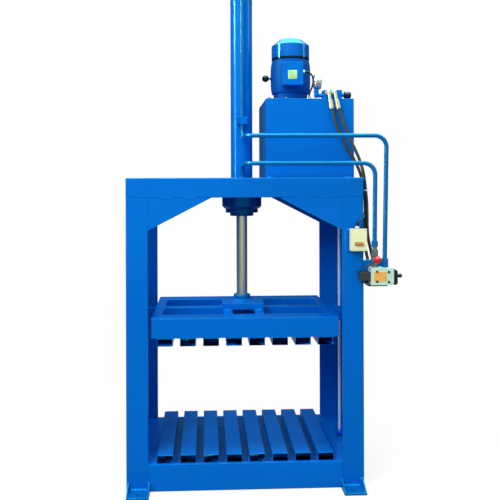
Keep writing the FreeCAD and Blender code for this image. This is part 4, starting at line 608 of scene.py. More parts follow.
def quads(rows: int, columns: int, loop: bool = False) -> np.ndarray:
    """Numbers the faces of a grid of points whose rows close on themselves.

    A face joins two neighbours in one row with the same two in the next row.

    Args:
        rows: the number of rows.
        columns: the points in a row.
        loop: whether the last row joins the first.

    Returns:
        One row of four point numbers for each face.
    """
    row = np.arange(rows if loop else rows - 1)[:, None] + np.zeros(columns, int)
    column = np.arange(columns)[None, :] + np.zeros_like(row)
    after, beside = (row + 1) % rows, (column + 1) % columns
    corners = (
        row * columns + column,
        row * columns + beside,
        after * columns + beside,
        after * columns + column,
    )
    return np.stack(corners, axis=-1).reshape(-1, 4)


def skin(rows: np.ndarray, loop: bool = False) -> Skin:
    """Closes a stack of point rings into a solid's surface.

    Args:
        rows: ring by point by coordinate.
        loop: whether the last ring joins the first; otherwise both ends are closed flat.

    Returns:
        The points and the blocks of faces.
    """
    count, around = rows.shape[:2]
    blocks = [quads(count, around, loop)]
    if not loop:
        ends = np.arange(around)[None, :]
        blocks += [ends, ends + (count - 1) * around]
    return rows.reshape(-1, 3), blocks


def lathe(
    profile: Sequence[tuple[float, float]],
    base: Sequence[float],
    axis: Sequence[float],
    steps: int = 40,
    loop: bool = False,
) -> Skin:
    """Turns pairs of distance and radius about an axis.

    Each point lies at the base, plus its distance along the axis, plus its radius across it.

    Args:
        profile: distance along the axis and radius, from one end to the other.
        base: the start of the axis.
        axis: the axis' direction.
        steps: points round the axis; six make a hexagon.
        loop: whether the profile closes on itself, as a ring's does.

    Returns:
        The turned surface.
    """
    along, radius = np.asarray(profile, dtype=float).T
    forward = unit(axis)
    # The ring starts level, or on the left where the axis itself is upright.
    side = unit(np.cross(forward, UP if abs(forward[2]) < 0.9 else BACK))
    other = np.cross(forward, side)
    angle = np.arange(steps) * 2.0 * math.pi / steps
    ring = np.cos(angle)[:, None] * side + np.sin(angle)[:, None] * other
    rows = np.asarray(base) + along[:, None, None] * forward + radius[:, None, None] * ring
    return skin(rows, loop)


def rounded_outline(width: float, height: float, corner: float) -> np.ndarray:
    """Draws a rectangle's outline with round corners, centred on zero.

    Each corner is a quarter circle of seven points about a middle that lies the corner's radius
    in from both sides.

    Args:
        width: the rectangle's width.
        height: its height.
        corner: the radius of its corners.

    Returns:
        Pairs of distance to the right and up.
    """
    angle = np.linspace(0.0, math.pi / 2.0, 7)
    arcs = []
    for quarter, (across, up) in enumerate(((1, 1), (-1, 1), (-1, -1), (1, -1))):
        turned = angle + quarter * math.pi / 2.0
        middle = (across * (width / 2.0 - corner), up * (height / 2.0 - corner))
        arcs.append(np.stack([np.cos(turned), np.sin(turned)], axis=1) * corner + middle)
    return np.concatenate(arcs)


def slab(
    outline: np.ndarray,
    centre: Sequence[float],
    right: Sequence[float],
    up: Sequence[float],
    thick: float,
    edge: float,
) -> Skin:
    """Raises a flat plate with a small chamfer from its outline.

    The outline stands at the back, again where the chamfer starts, and drawn in by the chamfer
    at the front.

    Args:
        outline: pairs of distance to the right and up from the centre.
        centre: the middle of the plate's back.
        right: the direction of the outline's first number.
        up: the direction of its second number.
        thick: the plate's thickness, towards the viewer.
        edge: the chamfer.

    Returns:
        The plate's surface.
    """
    out = np.cross(unit(right), unit(up))
    half = np.abs(outline).max()
    rows = [
        np.asarray(centre)
        + out * depth
        + (outline * scale) @ np.stack([unit(right), unit(up)])
        for depth, scale in ((0.0, 1.0), (thick - edge, 1.0), (thick, 1.0 - edge / half))
    ]
    return skin(np.stack(rows))


@dataclass(frozen=True)
class WeldBead:
    """A hand-laid weld in the corner between two faces, with ripples along it.

    All but the leg are shares of the leg. Across the bead, the skin turns from one face to the
    other in a quarter circle. Its distance from the corner is the leg, times one plus the
    ripple, times one less the flattening, which is largest in the middle. The ripples are
    rounded humps, one for each pitch, and lag in the middle. Open ends taper.
    """

    leg: float = 0.006
    pitch: float = 1.1
    lag: float = 0.35
    ripple: float = 0.12
    flattening: float = 0.16
    root: float = 0.2
    thin_end: float = 0.12
    step: float = 0.3

    def follow(
        self,
        corners: np.ndarray,
        side_a: Sequence[float] | np.ndarray,
        side_b: Sequence[float] | np.ndarray,
        loop: bool = False,
    ) -> Skin:
        """Lays the bead along a row of points.

        Args:
            corners: points along the corner, in order.
            side_a: direction along the first face, away from the corner, for all points or each.
            side_b: direction along the second face, away from the corner.
            loop: whether the last point joins the first.

        Returns:
            The bead's closed surface.
        """
        first = np.broadcast_to(np.asarray(side_a, dtype=float), corners.shape)
        second = np.broadcast_to(np.asarray(side_b, dtype=float), corners.shape)
        steps = np.linalg.norm(np.diff(corners, axis=0), axis=1)
        run = np.concatenate([[0.0], np.cumsum(steps)])
        across = np.linspace(0.0, math.pi / 2.0, 6)
        bulge = np.sin(2.0 * across)
        phase = run[:, None] / (self.pitch * self.leg) + self.lag * bulge
        humps = 1.0 + self.ripple * np.abs(np.sin(math.pi * phase))
        reach = self.leg * humps * (1.0 - self.flattening * bulge)
        if not loop:
            ends = np.minimum(run, run[-1] - run) / self.leg
            reach = reach * np.sqrt(np.clip(ends, self.thin_end, 1.0))[:, None]
        outer = (
            corners[:, None]
            + (reach * np.cos(across))[..., None] * first[:, None]
            + (reach * np.sin(across))[..., None] * second[:, None]
        )
        root = (corners - self.root * self.leg * (first + second))[:, None]
        return skin(np.concatenate([outer, root], axis=1), loop)

    def straight(
        self,
        start: Sequence[float],
        end: Sequence[float],
        side_a: Sequence[float],
        side_b: Sequence[float],
    ) -> Skin:
        """Lays the bead along a straight corner.

        Args:
            start: the corner's start.
            end: its end.
            side_a: direction along the first face, away from the corner.
            side_b: direction along the second face, away from the corner.

        Returns:
            The bead's surface.
        """
        low, high = np.asarray(start, dtype=float), np.asarray(end, dtype=float)
        count = max(4, int(np.linalg.norm(high - low) / (self.step * self.leg)))
        share = np.linspace(0.0, 1.0, count)[:, None]
        return self.follow(low + share * (high - low), side_a, side_b)

    def ring(self, centre: Sequence[float], radius: float, up: float) -> Skin:
        """Lays the bead round the foot of an upright cylinder.

        Args:
            centre: the middle of the cylinder's foot.
            radius: the cylinder's radius.
            up: 1 where the cylinder stands on the face, -1 where it hangs from it.

        Returns:
            The bead's surface.
        """
        count = int(2.0 * math.pi * radius / (self.step * self.leg))
        angle = np.arange(count) * 2.0 * math.pi / count
        out = np.stack([np.cos(angle), np.sin(angle), np.zeros(count)], axis=1)
        corners = np.asarray(centre) + radius * out
        return self.follow(corners, out, (0.0, 0.0, up), loop=True)


@dataclass(frozen=True)
class Fastener:
    """A screw head that stands on a face, with all its sizes as shares of its width."""

    base: Sequence[float]
    axis: Sequence[float]
    width: float

    def turned(
        self, profile: Sequence[tuple[float, float]], steps: int = 40, loop: bool = False
    ) -> Skin:
        """Turns a profile of heights and radii, in widths, about the screw's axis."""
        return lathe(np.multiply(profile, self.width), self.base, self.axis, steps, loop)

    def hexagon(self) -> list[Skin]:
        """Makes a washer, a chamfered hexagon head, and the bolt's domed end in it.

        Returns:
            The three surfaces.
        """
        washer, head, chamfer = 0.12, 0.6, 0.86
        corner = 0.5 / math.cos(math.pi / 6.0)
        crown = washer + head
        return [
            self.turned([(0.0, 0.95), (washer, 0.95), (washer, 0.3)]),
            self.turned(
                [(washer, corner), (washer + chamfer * head, corner), (crown, chamfer * corner)],
                steps=6,
            ),
            self.turned(
                [(washer, 0.5), (washer + 0.93 * head, 0.49), (washer + 1.02 * head, 0.4)]
            ),
        ]

    def socket(self) -> list[Skin]:
        """Makes a round head with a chamfer, and the hexagon wall of the socket in it.

        Returns:
            The two surfaces.
        """
        head, half = 0.62, 0.5
        outer, inner = 0.56 * half, 0.46 * half
        return [
            self.turned(
                [
                    (0.0, half), (0.86 * head, half), (head, 0.88 * half), (head, 0.5 * half),
                    (0.35 * head, 0.5 * half), (0.35 * head, 0.2 * half),
                ],
                steps=24,
            ),
            self.turned(
                [
                    (0.3 * head, outer), (0.97 * head, outer),
                    (0.97 * head, inner), (0.3 * head, inner),
                ],
                steps=6, loop=True,
            ),
        ]

    def pan(self) -> list[Skin]:
        """Makes a domed head: the height goes with the sine and the radius with the cosine.

        Returns:
            The one surface.
        """
        rise = 0.3 * np.sin(np.linspace(0.0, math.pi / 2.0, 6))
        radius = 0.5 * np.cos(np.linspace(0.0, math.pi / 2.2, 6))
        return [self.turned(list(zip(rise, radius)), steps=24)]


class Body(Enum):
    """The bodies that added pieces move with."""

    FRAME = "frame"
    RAM = "ram"


@dataclass
class Shell:
    """Closed surfaces gathered into one piece."""

    points: list[np.ndarray] = field(default_factory=list)
    faces: list[list[int]] = field(default_factory=list)
    count: int = 0

    def add(self, *surfaces: Skin) -> Shell:
        """Adds surfaces, with their face numbers moved past the points already there.

        Args:
            surfaces: the closed surfaces.

        Returns:
            The shell itself.
        """
        for points, blocks in surfaces:
            self.points.append(points)
            for block in blocks:
                self.faces += (block + self.count).tolist()
            self.count += len(points)
        return self

    def piece(
        self, name: str, finish: Surface, body: Body = Body.FRAME, sharp: float = 38.0
    ) -> bpy.types.Object:
        """Makes the piece, faces outwards, and lets it ride on a body.

        Args:
            name: the piece's name.
            finish: its finish.
            body: the body that it moves with.
            sharp: edges with a steeper fold than this many degrees stay sharp.

        Returns:
            The new object.
        """
        mesh = bpy.data.meshes.new(name)
        mesh.from_pydata(np.concatenate(self.points).tolist(), [], self.faces)
        build = bmesh.new()
        build.from_mesh(mesh)
        bmesh.ops.recalc_face_normals(build, faces=build.faces)
        build.to_mesh(mesh)
        build.free()
        mesh.polygons.foreach_set("use_smooth", np.ones(len(mesh.polygons), bool))
        mesh.set_sharp_from_angle(angle=math.radians(sharp))
        mesh.materials.append(finish.material)
        made = bpy.data.objects.new(name, mesh)
        bpy.context.scene.collection.objects.link(made)
        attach(made, body.value)
        return report(made)


# ---------------------------------------------------------------------------------------------
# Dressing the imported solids
# ---------------------------------------------------------------------------------------------


def report(piece: bpy.types.Object) -> bpy.types.Object:
    """Logs one piece by its name and its kind.

    Args:
        piece: the finished piece.

    Returns:
        The same piece.
    """
    size = len(piece.data.polygons) if piece.type == "MESH" else 0
    LOG.info("%s: %s, %d faces", piece.name, piece.type.lower(), size)
    return piece


@dataclass(frozen=True)
class EdgeBreak:
    """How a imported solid's mesh is joined, and how its edges are softened, for any edge size."""

    merge: float = 0.00002
    flat: float = math.radians(0.5)
    fold: float = math.radians(35.0)
    steps: int = 2
    face_weight: int = 90

    def dress(self, piece: bpy.types.Object, finish: Surface, edge: float) -> None:
        """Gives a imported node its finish, smooth curves and softened edges.

        Args:
            piece: the node's object.
            finish: the finish of the whole node.
            edge: the radius of its softened edges, in metres, or 0 to leave them as they are.
        """
        piece.data.materials.clear()
        piece.data.materials.append(finish.material)
        piece.data.polygons.foreach_set("use_smooth", np.ones(len(piece.data.polygons), bool))
        piece.modifiers.new("merge", "WELD").merge_threshold = self.merge
        if edge > 0.0:
            flat = piece.modifiers.new("flat", "DECIMATE")
            flat.decimate_type = "DISSOLVE"
            flat.angle_limit = self.flat
            soft = piece.modifiers.new("soft", "BEVEL")
            soft.width = edge
            soft.segments = self.steps
            soft.limit_method = "ANGLE"
            soft.angle_limit = self.fold
            soft.miter_outer = "MITER_ARC"
            soft.use_clamp_overlap = False
        shade = piece.modifiers.new("shade", "WEIGHTED_NORMAL")
        shade.keep_sharp = False
        shade.weight = self.face_weight
        report(piece)

# ---------------------------------------------------------------------------------------------
# The machine
# ---------------------------------------------------------------------------------------------

EDGE_BREAK = EdgeBreak()
# Folds steeper than this many degrees stay sharp on a weld bead, which keeps its ripples soft.
BEAD_FOLD = 60.0


@dataclass
class Assembly:
    """A sub-assembly of the machine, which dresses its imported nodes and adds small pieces."""

    frame: dict

    def dress(self, nodes: str, finish: Surface, edge: float = 0.0) -> None:
        """Dresses the nodes that are named in one line alike."""
        for node in nodes.split():
            EDGE_BREAK.dress(self.frame["nodes"][node], finish, edge)

    def build(self) -> None:
        """Dresses the nodes and adds the pieces, which each sub-assembly does in its own way."""
        raise NotImplementedError


@dataclass(frozen=True)
class SlatRow:
    """A row of eight slats from side to side, and the short welds beside their ends.

    The slats stand on a level where up is 1, and hang from it where up is -1. They reach equally
    far to the front and to the back, and a stitch lies between two distances from each end.
    """

    level: float
    up: float
    reach: float
    margin: float = 0.4474
    width: float = 0.080
    count: int = 8
    stitch: tuple[float, float] = (0.008, 0.046)
    bead: WeldBead = WeldBead(leg=0.005)

    def welds(self) -> Iterable[Skin]:
        """Lays the stitches on both sides of each slat, at both of its ends.

        Yields:
            One bead after another.
        """
        for left in np.linspace(-self.margin, self.margin - self.width, self.count):
            for x, out in ((left, -1.0), (left + self.width, 1.0)):
                for side in LEFT_RIGHT:
                    start, end = (
                        (x, side * (self.reach - gap), self.level) for gap in self.stitch
                    )
                    yield self.bead.straight(start, end, (out, 0.0, 0.0), (0.0, 0.0, self.up))


@dataclass
class WeldedFrame(Assembly):
    """Posts, beams, base and feet of rolled and pressed steel, with their welds.

    A place across the machine is given for the right half, and one along it for the back half;
    the other halves mirror them.
    """

    # Softened edges of plates, bent beams, flush gussets and ground rods.
    edge: float = 0.0024
    bend: float = 0.0036
    flush_edge: float = 0.0007
    rod_edge: float = 0.0008
    # Outer faces and levels of the frame.
    side: float = 0.600
    web: float = 0.590
    face: float = 0.320
    beam_low: float = 1.470
    bed: float = 0.135
    slat_end: float = 0.304
    mount_corner: Point = (0.135, 0.105, 1.500)
    # Gussets: their wall, the weld behind them, and the two ground welds on their face.
    gusset_wall: float = 0.010
    gusset_weld: tuple[float, float] = (0.20, 0.48)
    ground_welds: tuple[tuple[float, float], ...] = ((0.255, 0.315), (0.375, 0.430))
    ground_lift: float = 0.0025
    ground_rise: float = 0.25
    ground_lean: float = 0.1
    # Anchor feet: from fin to fin, the walls of plate and fin, and the welds up the fins.
    foot: tuple[float, float] = (0.481, 0.593)
    foot_margin: float = 0.010
    foot_wall: float = 0.012
    fin_wall: float = 0.008
    fin_weld: tuple[float, float] = (0.014, 0.050)
    # Guide rod's brackets: level and the way to the rod, half width, and the rod itself.
    brackets: tuple[tuple[float, float], ...] = ((0.165, 1.0), (1.480, -1.0))
    bracket_half: float = 0.024
    rod_place: float = 0.543
    rod_radius: float = 0.008
    # Switch plate on the right post: left, right, bottom and top; the valve bracket's heights.
    switch_plate: tuple[float, float, float, float] = (0.508, 0.588, 1.193, 1.309)
    plate_margin: float = 0.004
    bracket_face: float = 0.312
    valve_bracket: tuple[float, float] = (1.036, 1.147)

    def build(self) -> None:
        """Dresses the frame's nodes and lays its welds."""
        self.dress(
            "left_side_channel right_side_channel bed_slats cross_channels "
            "cylinder_mount_plate switch_plate valve_bracket",
            Surface.ENAMEL, self.edge,
        )
        # The deck's enamel carries a painted shade over the middle, under the slats.
        self.dress("bed_deck", Surface.DECK_ENAMEL, self.edge)
        self.dress("base_beams", Surface.DECK_ENAMEL, self.bend)
        self.dress("anchor_feet", Surface.DEEP_ENAMEL, self.edge)
        self.dress("top_beams", Surface.ENAMEL, self.bend)
        self.dress("corner_gussets", Surface.ENAMEL, self.flush_edge)
        self.dress("guide_rods", Surface.GUIDE_STEEL, self.rod_edge)
        welds = Shell().add(*SlatRow(self.bed, 1.0, self.slat_end).welds())
        for x, y in CORNERS:
            welds.add(*self.gusset_welds(x, y), *self.foot_welds(x, y))
        for x in LEFT_RIGHT:
            welds.add(*self.bracket_welds(x), self.mount_weld(x))
        welds.add(*self.plate_welds())
        welds.piece("frame_weld_beads", Surface.ENAMEL, sharp=BEAD_FOLD)

    def mount_weld(self, x: float) -> Skin:
        """Lays the weld along one side of the cylinder's mount plate.

        Args:
            x: -1 for the left side, 1 for the right.

        Returns:
            The bead.
        """
        across, along, level = self.mount_corner
        ends = [(x * across, y * along, level) for y in LEFT_RIGHT]
        return WeldBead().straight(ends[0], ends[1], UP, (-x, 0.0, 0.0))

    def gusset_welds(self, x: float, y: float) -> list[Skin]:
        """Lays the weld behind a corner gusset and the two ground ones on its face.

        A ground-down weld stands only a little over the flush faces of beam and gusset.

        Args:
            x: -1 for the left half, 1 for the right.
            y: -1 for the front half, 1 for the back.

        Returns:
            The beads.
        """
        inside = y * (self.face - self.gusset_wall)
        ends = [(x * place, inside, self.beam_low) for place in self.gusset_weld]
        made = [WeldBead().straight(ends[0], ends[1], (0.0, -y, 0.0), DOWN)]
        ground, lift = WeldBead(leg=0.005), self.beam_low + self.ground_lift
        out, down = (0.0, y * self.ground_rise, 0.0), (0.0, y * self.ground_lean, -1.0)
        for places in self.ground_welds:
            start, end = ((x * place, y * self.face, lift) for place in places)
            made.append(ground.straight(start, end, out, down))
        return made

    def foot_welds(self, x: float, y: float) -> list[Skin]:
        """Lays the welds between one anchor foot and the post's face.

        Args:
            x: -1 for the left half, 1 for the right.
            y: -1 for the front half, 1 for the back.

        Returns:
            The bead along the foot's plate and the three up its fins.
        """
        face, out = y * self.face, (0.0, y, 0.0)
        inner, outer = self.foot
        ends = [
            (x * place, face, self.foot_wall)
            for place in (inner + self.foot_margin, outer - self.foot_margin)
        ]
        made = [WeldBead(leg=0.0055).straight(ends[0], ends[1], UP, out)]
        sides = ((inner, -1.0), (inner + self.fin_wall, 1.0), (outer - self.fin_wall, -1.0))
        for place, away in sides:
            start, end = ((x * place, face, level) for level in self.fin_weld)
            made.append(WeldBead(leg=0.0045).straight(start, end, (x * away, 0.0, 0.0), out))
        return made

    def bracket_welds(self, x: float) -> list[Skin]:
        """Lays the welds of one guide rod's two brackets: on the post's web, and round the rod.

        Args:
            x: -1 for the left half, 1 for the right.

        Returns:
            The beads.
        """
        made = []
        for level, up in self.brackets:
            ends = [(x * self.web, y * self.bracket_half, level) for y in LEFT_RIGHT]
            made += [
                WeldBead(leg=0.005).straight(ends[0], ends[1], (0.0, 0.0, up), (-x, 0.0, 0.0)),
                WeldBead(leg=0.004).ring((x * self.rod_place, 0.0, level), self.rod_radius, up),
            ]
        return made

    def plate_welds(self) -> list[Skin]:
        """Lays the welds of the switch plate and the valve bracket on the right post.

        Returns:
            The beads above, below and left of the plate, and the one behind the bracket.
        """
        left, right, low, high = self.switch_plate
        margin, thin = self.plate_margin, WeldBead(leg=0.004)
        made = [
            thin.straight(
                (left + margin, -self.face, level), (right, -self.face, level), away, FRONT
            )
            for level, away in ((high, UP), (low, DOWN))
        ]
        start, end = ((left, -self.face, level) for level in (low + margin, high - margin))
        made.append(thin.straight(start, end, (-1.0, 0.0, 0.0), FRONT))
        start, end = ((self.side, -self.bracket_face, level) for level in self.valve_bracket)
        made.append(WeldBead().straight(start, end, BACK, RIGHT))
        return made


@dataclass
class PressCylinder(Assembly):
    """Barrel, end cap, flange, gland, rod and bolts."""

    edge: float = 0.0015
    bolt_edge: float = 0.0006
    radius: float = 0.060
    # Two low beads round the barrel; each profile pair is along the barrel and over its face.
    girth_levels: tuple[float, ...] = (2.531, 2.545)
    girth: tuple[tuple[float, float], ...] = (
        (-0.0032, -0.001), (-0.0026, 0.0006), (0.0, 0.0013), (0.0026, 0.0006), (0.0032, -0.001),
    )
    round_steps: int = 64
    # The port block at the cap end: its level, half width and half height.
    port: tuple[float, float, float] = (2.590, 0.017, 0.016)
    port_lean: float = 0.3

    def build(self) -> None:
        """Dresses the cylinder's nodes and lays its welds."""
        self.dress("cylinder_barrel cylinder_end_cap", Surface.ENAMEL, self.edge)
        # Flange and gland take the enamel with painted shade of the top beam.
        self.dress("cylinder_flange cylinder_gland", Surface.BEAM_SHADED_ENAMEL, self.edge)
        self.dress("flange_bolts", Surface.BOLT_ZINC, self.bolt_edge)
        self.dress("piston_rod", Surface.ROD_CHROME)
        self.dress("piston", Surface.DRAWN_STEEL)
        self.dress("rod_boss", Surface.DEEP_ENAMEL, self.edge)
        welds = Shell().add(*(self.girth_weld(level) for level in self.girth_levels))
        welds.add(*(self.port_weld(x) for x in LEFT_RIGHT))
        welds.piece("cylinder_weld_beads", Surface.DEEP_ENAMEL, sharp=BEAD_FOLD)

    def girth_weld(self, level: float) -> Skin:
        """Lays a low bead round the barrel at a level."""
        profile = [(along, self.radius + rise) for along, rise in self.girth]
        return lathe(profile, (0.0, 0.0, level), UP, self.round_steps, loop=True)

    def port_weld(self, x: float) -> Skin:
        """Lays the weld up one side of the port block, where its side meets the round barrel.

        Args:
            x: -1 for the left side, 1 for the right.

        Returns:
            The bead.
        """
        level, half_width, half_height = self.port
        face = -math.sqrt(self.radius**2 - half_width**2)
        ends = [(x * half_width, face, level + side * half_height) for side in LEFT_RIGHT]
        return WeldBead(leg=0.004).straight(ends[0], ends[1], FRONT, (x, self.port_lean, 0.0))


@dataclass
class Platen(Assembly):
    """The moving press plate: a welded grid of tubes with slats below."""

    edge: float = 0.0022
    low: float = 0.762
    high: float = 0.862
    seat: float = 0.897
    side: float = 0.475
    slat_end: float = 0.308
    boss_radius: float = 0.0465
    # The seat plate's welds: along its long sides, and along its short ones.
    seat_weld: tuple[tuple[float, float], float] = ((0.062, 0.104), 0.108)
    seat_end: tuple[float, float] = (0.112, 0.022)
    # The guide lugs' welds: their distance from the middle, their bottom and their top.
    lug: tuple[float, float, float] = (0.006, 0.783, 0.857)
    # The upright welds stop short of the tubes' lower and upper faces by these.
    grid_gaps: tuple[float, float] = (0.002, 0.001)
    # Corners of the tube grid's back right quarter, and the directions away from each.
    grid: tuple[tuple[float, float, int, int], ...] = (
        (0.425, 0.208, -1, -1), (0.108, 0.208, 1, -1), (0.058, 0.208, -1, -1),
        (0.108, 0.025, 1, 1), (0.425, 0.025, -1, 1), (0.058, 0.025, -1, 1),
    )

    def build(self) -> None:
        """Dresses the platen's nodes and lays its welds."""
        self.dress(
            "platen_end_tubes platen_end_caps platen_side_tubes platen_inner_tubes "
            "platen_seat_plate platen_slats guide_lugs",
            Surface.ENAMEL, self.edge,
        )
        welds = Shell().add(*SlatRow(self.low, -1.0, self.slat_end).welds())
        welds.add(WeldBead(leg=0.008).ring((0.0, 0.0, self.seat), self.boss_radius, 1.0))
        for x, y in CORNERS:
            welds.add(*self.grid_welds(x, y), *self.corner_welds(x, y))
        across, along = self.seat_end
        for x in LEFT_RIGHT:
            start, end = ((x * across, y * along, self.high) for y in LEFT_RIGHT)
            welds.add(WeldBead(leg=0.007).straight(start, end, (x, 0.0, 0.0), UP))
        welds.piece("platen_weld_beads", Surface.ENAMEL, Body.RAM, BEAD_FOLD)

    def corner_welds(self, x: float, y: float) -> list[Skin]:
        """Lays the welds of the seat plate and of a guide lug in one quarter.

        Args:
            x: -1 for the left half, 1 for the right.
            y: -1 for the front half, 1 for the back.

        Returns:
            The two beads.
        """
        places, back = self.seat_weld
        plate = [(x * place, y * back, self.high) for place in places]
        middle, *levels = self.lug
        lug = [(x * self.side, y * middle, level) for level in levels]
        return [
            WeldBead(leg=0.007).straight(plate[0], plate[1], (0.0, y, 0.0), UP),
            WeldBead(leg=0.005).straight(lug[0], lug[1], (0.0, y, 0.0), (x, 0.0, 0.0)),
        ]

    def grid_welds(self, x: float, y: float) -> Iterable[Skin]:
        """Lays the upright welds in one quarter of the tube grid.

        Args:
            x: -1 for the left half, 1 for the right.
            y: -1 for the front half, 1 for the back.

        Yields:
            One bead after another.
        """
        levels = (self.low + self.grid_gaps[0], self.high - self.grid_gaps[1])
        for across, back, away_x, away_y in self.grid:
            start, end = ((x * across, y * back, level) for level in levels)
            yield WeldBead().straight(start, end, (x * away_x, 0.0, 0.0), (0.0, y * away_y, 0.0))


@dataclass
class PowerUnit(Assembly):
    """Oil tank with the motor, pump, valve block and gauge elbow."""

    edge: float = 0.002
    block_edge: float = 0.001
    small_edge: float = 0.0006
    # The tank's left and right faces, its half depth, its foot and its lid's top.
    tank: tuple[float, float] = (0.116, 0.577)
    depth: float = 0.216
    foot: float = 1.570
    lid: float = 1.984
    foot_welds: tuple[tuple[float, float], ...] = ((0.118, 0.144), (0.522, 0.568))
    # The lid's bolts, and the stretch of the front edge that the valve block takes up.
    lid_margin: float = 0.020
    lid_bolt: float = 0.013
    block: tuple[float, float] = (0.38, 0.56)
    # The motor: its middle, the bolts of its foot and the screws of its cowl.
    motor: float = 0.273
    foot_ring: float = 0.0985
    foot_flange: float = 0.018
    foot_bolt: float = 0.0088
    foot_turns: tuple[float, ...] = (-21.0, 69.0, 159.0, 249.0)
    cowl_ring: float = 0.1037
    cowl_level: float = 2.234
    cowl_screw: float = 0.008
    cowl_turns: tuple[float, ...] = (-50.0, 70.0, 190.0)
    # The terminal box's lid: its front, then left, right, bottom and top.
    box_front: float = -0.165
    box: tuple[float, float, float, float] = (0.211, 0.320, 2.063, 2.185)
    box_margin: float = 0.011
    box_screw: float = 0.009
    # The blank plate on it: middle, width and height, corner, thickness and chamfer.
    plate_middle: tuple[float, float] = (0.262, 2.117)
    plate_size: float = 0.047
    plate_corner: float = 0.004
    plate_wall: float = 0.0012
    plate_edge: float = 0.0004

    def build(self) -> None:
        """Dresses the power unit's nodes and adds its screws, plate and welds."""
        self.dress("oil_tank tank_lid terminal_box terminal_box_lid", Surface.ENAMEL, self.edge)
        self.dress("motor_housing", Surface.CAST_ENAMEL, self.edge)
        self.dress("fan_cowl", Surface.COWL_ENAMEL, self.edge)
        self.dress("valve_block", Surface.ENAMEL, self.block_edge)
        self.dress("gauge_elbow", Surface.ENAMEL, self.small_edge)
        self.dress("side_knob relief_knob", Surface.BLACK_PLASTIC, self.small_edge)
        self.dress("motor_shaft", Surface.DRAWN_STEEL)
        self.dress("motor_fan", Surface.FAN_PLASTIC)
        self.dress("gear_pump", Surface.IRON)
        self.build_bolts()
        self.build_screws()
        self.build_plate()
        self.build_welds()

    def round_motor(self, turn: float) -> np.ndarray:
        """Returns the level direction that lies turn degrees round the motor from the front."""
        angle = math.radians(turn)
        return np.array([math.sin(angle), -math.cos(angle), 0.0])

    def build_bolts(self) -> None:
        """Adds the bolts of the tank's lid and of the motor's foot."""
        bolts = Shell()
        left, right = self.tank[0] + self.lid_margin, self.tank[1] - self.lid_margin
        back = self.depth - self.lid_margin
        for x in (left, (left + right) / 2, right):
            for y in (-back, back):
                if y > 0 or not self.block[0] < x < self.block[1]:
                    bolts.add(*Fastener((x, y, self.lid), UP, self.lid_bolt).hexagon())
        for turn in self.foot_turns:
            middle = np.array([self.motor, 0.0, self.lid + self.foot_flange])
            base = middle + self.foot_ring * self.round_motor(turn)
            bolts.add(*Fastener(base, UP, self.foot_bolt).hexagon())
        bolts.piece("tank_and_motor_bolts", Surface.BOLT_ZINC)

    def build_screws(self) -> None:
        """Adds the screws of the terminal box's lid and of the cowl."""
        screws = Shell()
        left, right, low, high = self.box
        for x in (left + self.box_margin, right - self.box_margin):
            for z in (low + self.box_margin, high - self.box_margin):
                screws.add(*Fastener((x, self.box_front, z), FRONT, self.box_screw).pan())
        for turn in self.cowl_turns:
            out = self.round_motor(turn)
            base = np.array([self.motor, 0.0, self.cowl_level]) + self.cowl_ring * out
            screws.add(*Fastener(base, out, self.cowl_screw).pan())
        screws.piece("box_and_cowl_screws", Surface.ENAMEL)

    def build_plate(self) -> None:
        """Adds the small blank plate on the terminal box's lid."""
        outline = rounded_outline(self.plate_size, self.plate_size, self.plate_corner)
        across, level = self.plate_middle
        centre = (across, self.box_front, level)
        plate = Shell().add(slab(outline, centre, RIGHT, UP, self.plate_wall, self.plate_edge))
        plate.piece("motor_blank_plate", Surface.MOTOR_PLATE)

    def build_welds(self) -> None:
        """Adds the short welds under the tank's front and back edges."""
        welds = Shell()
        for places in self.foot_welds:
            for y in LEFT_RIGHT:
                start, end = ((x, y * self.depth, self.foot) for x in places)
                welds.add(WeldBead().straight(start, end, UP, (0.0, y, 0.0)))
        welds.piece("tank_weld_beads", Surface.ENAMEL, sharp=BEAD_FOLD)


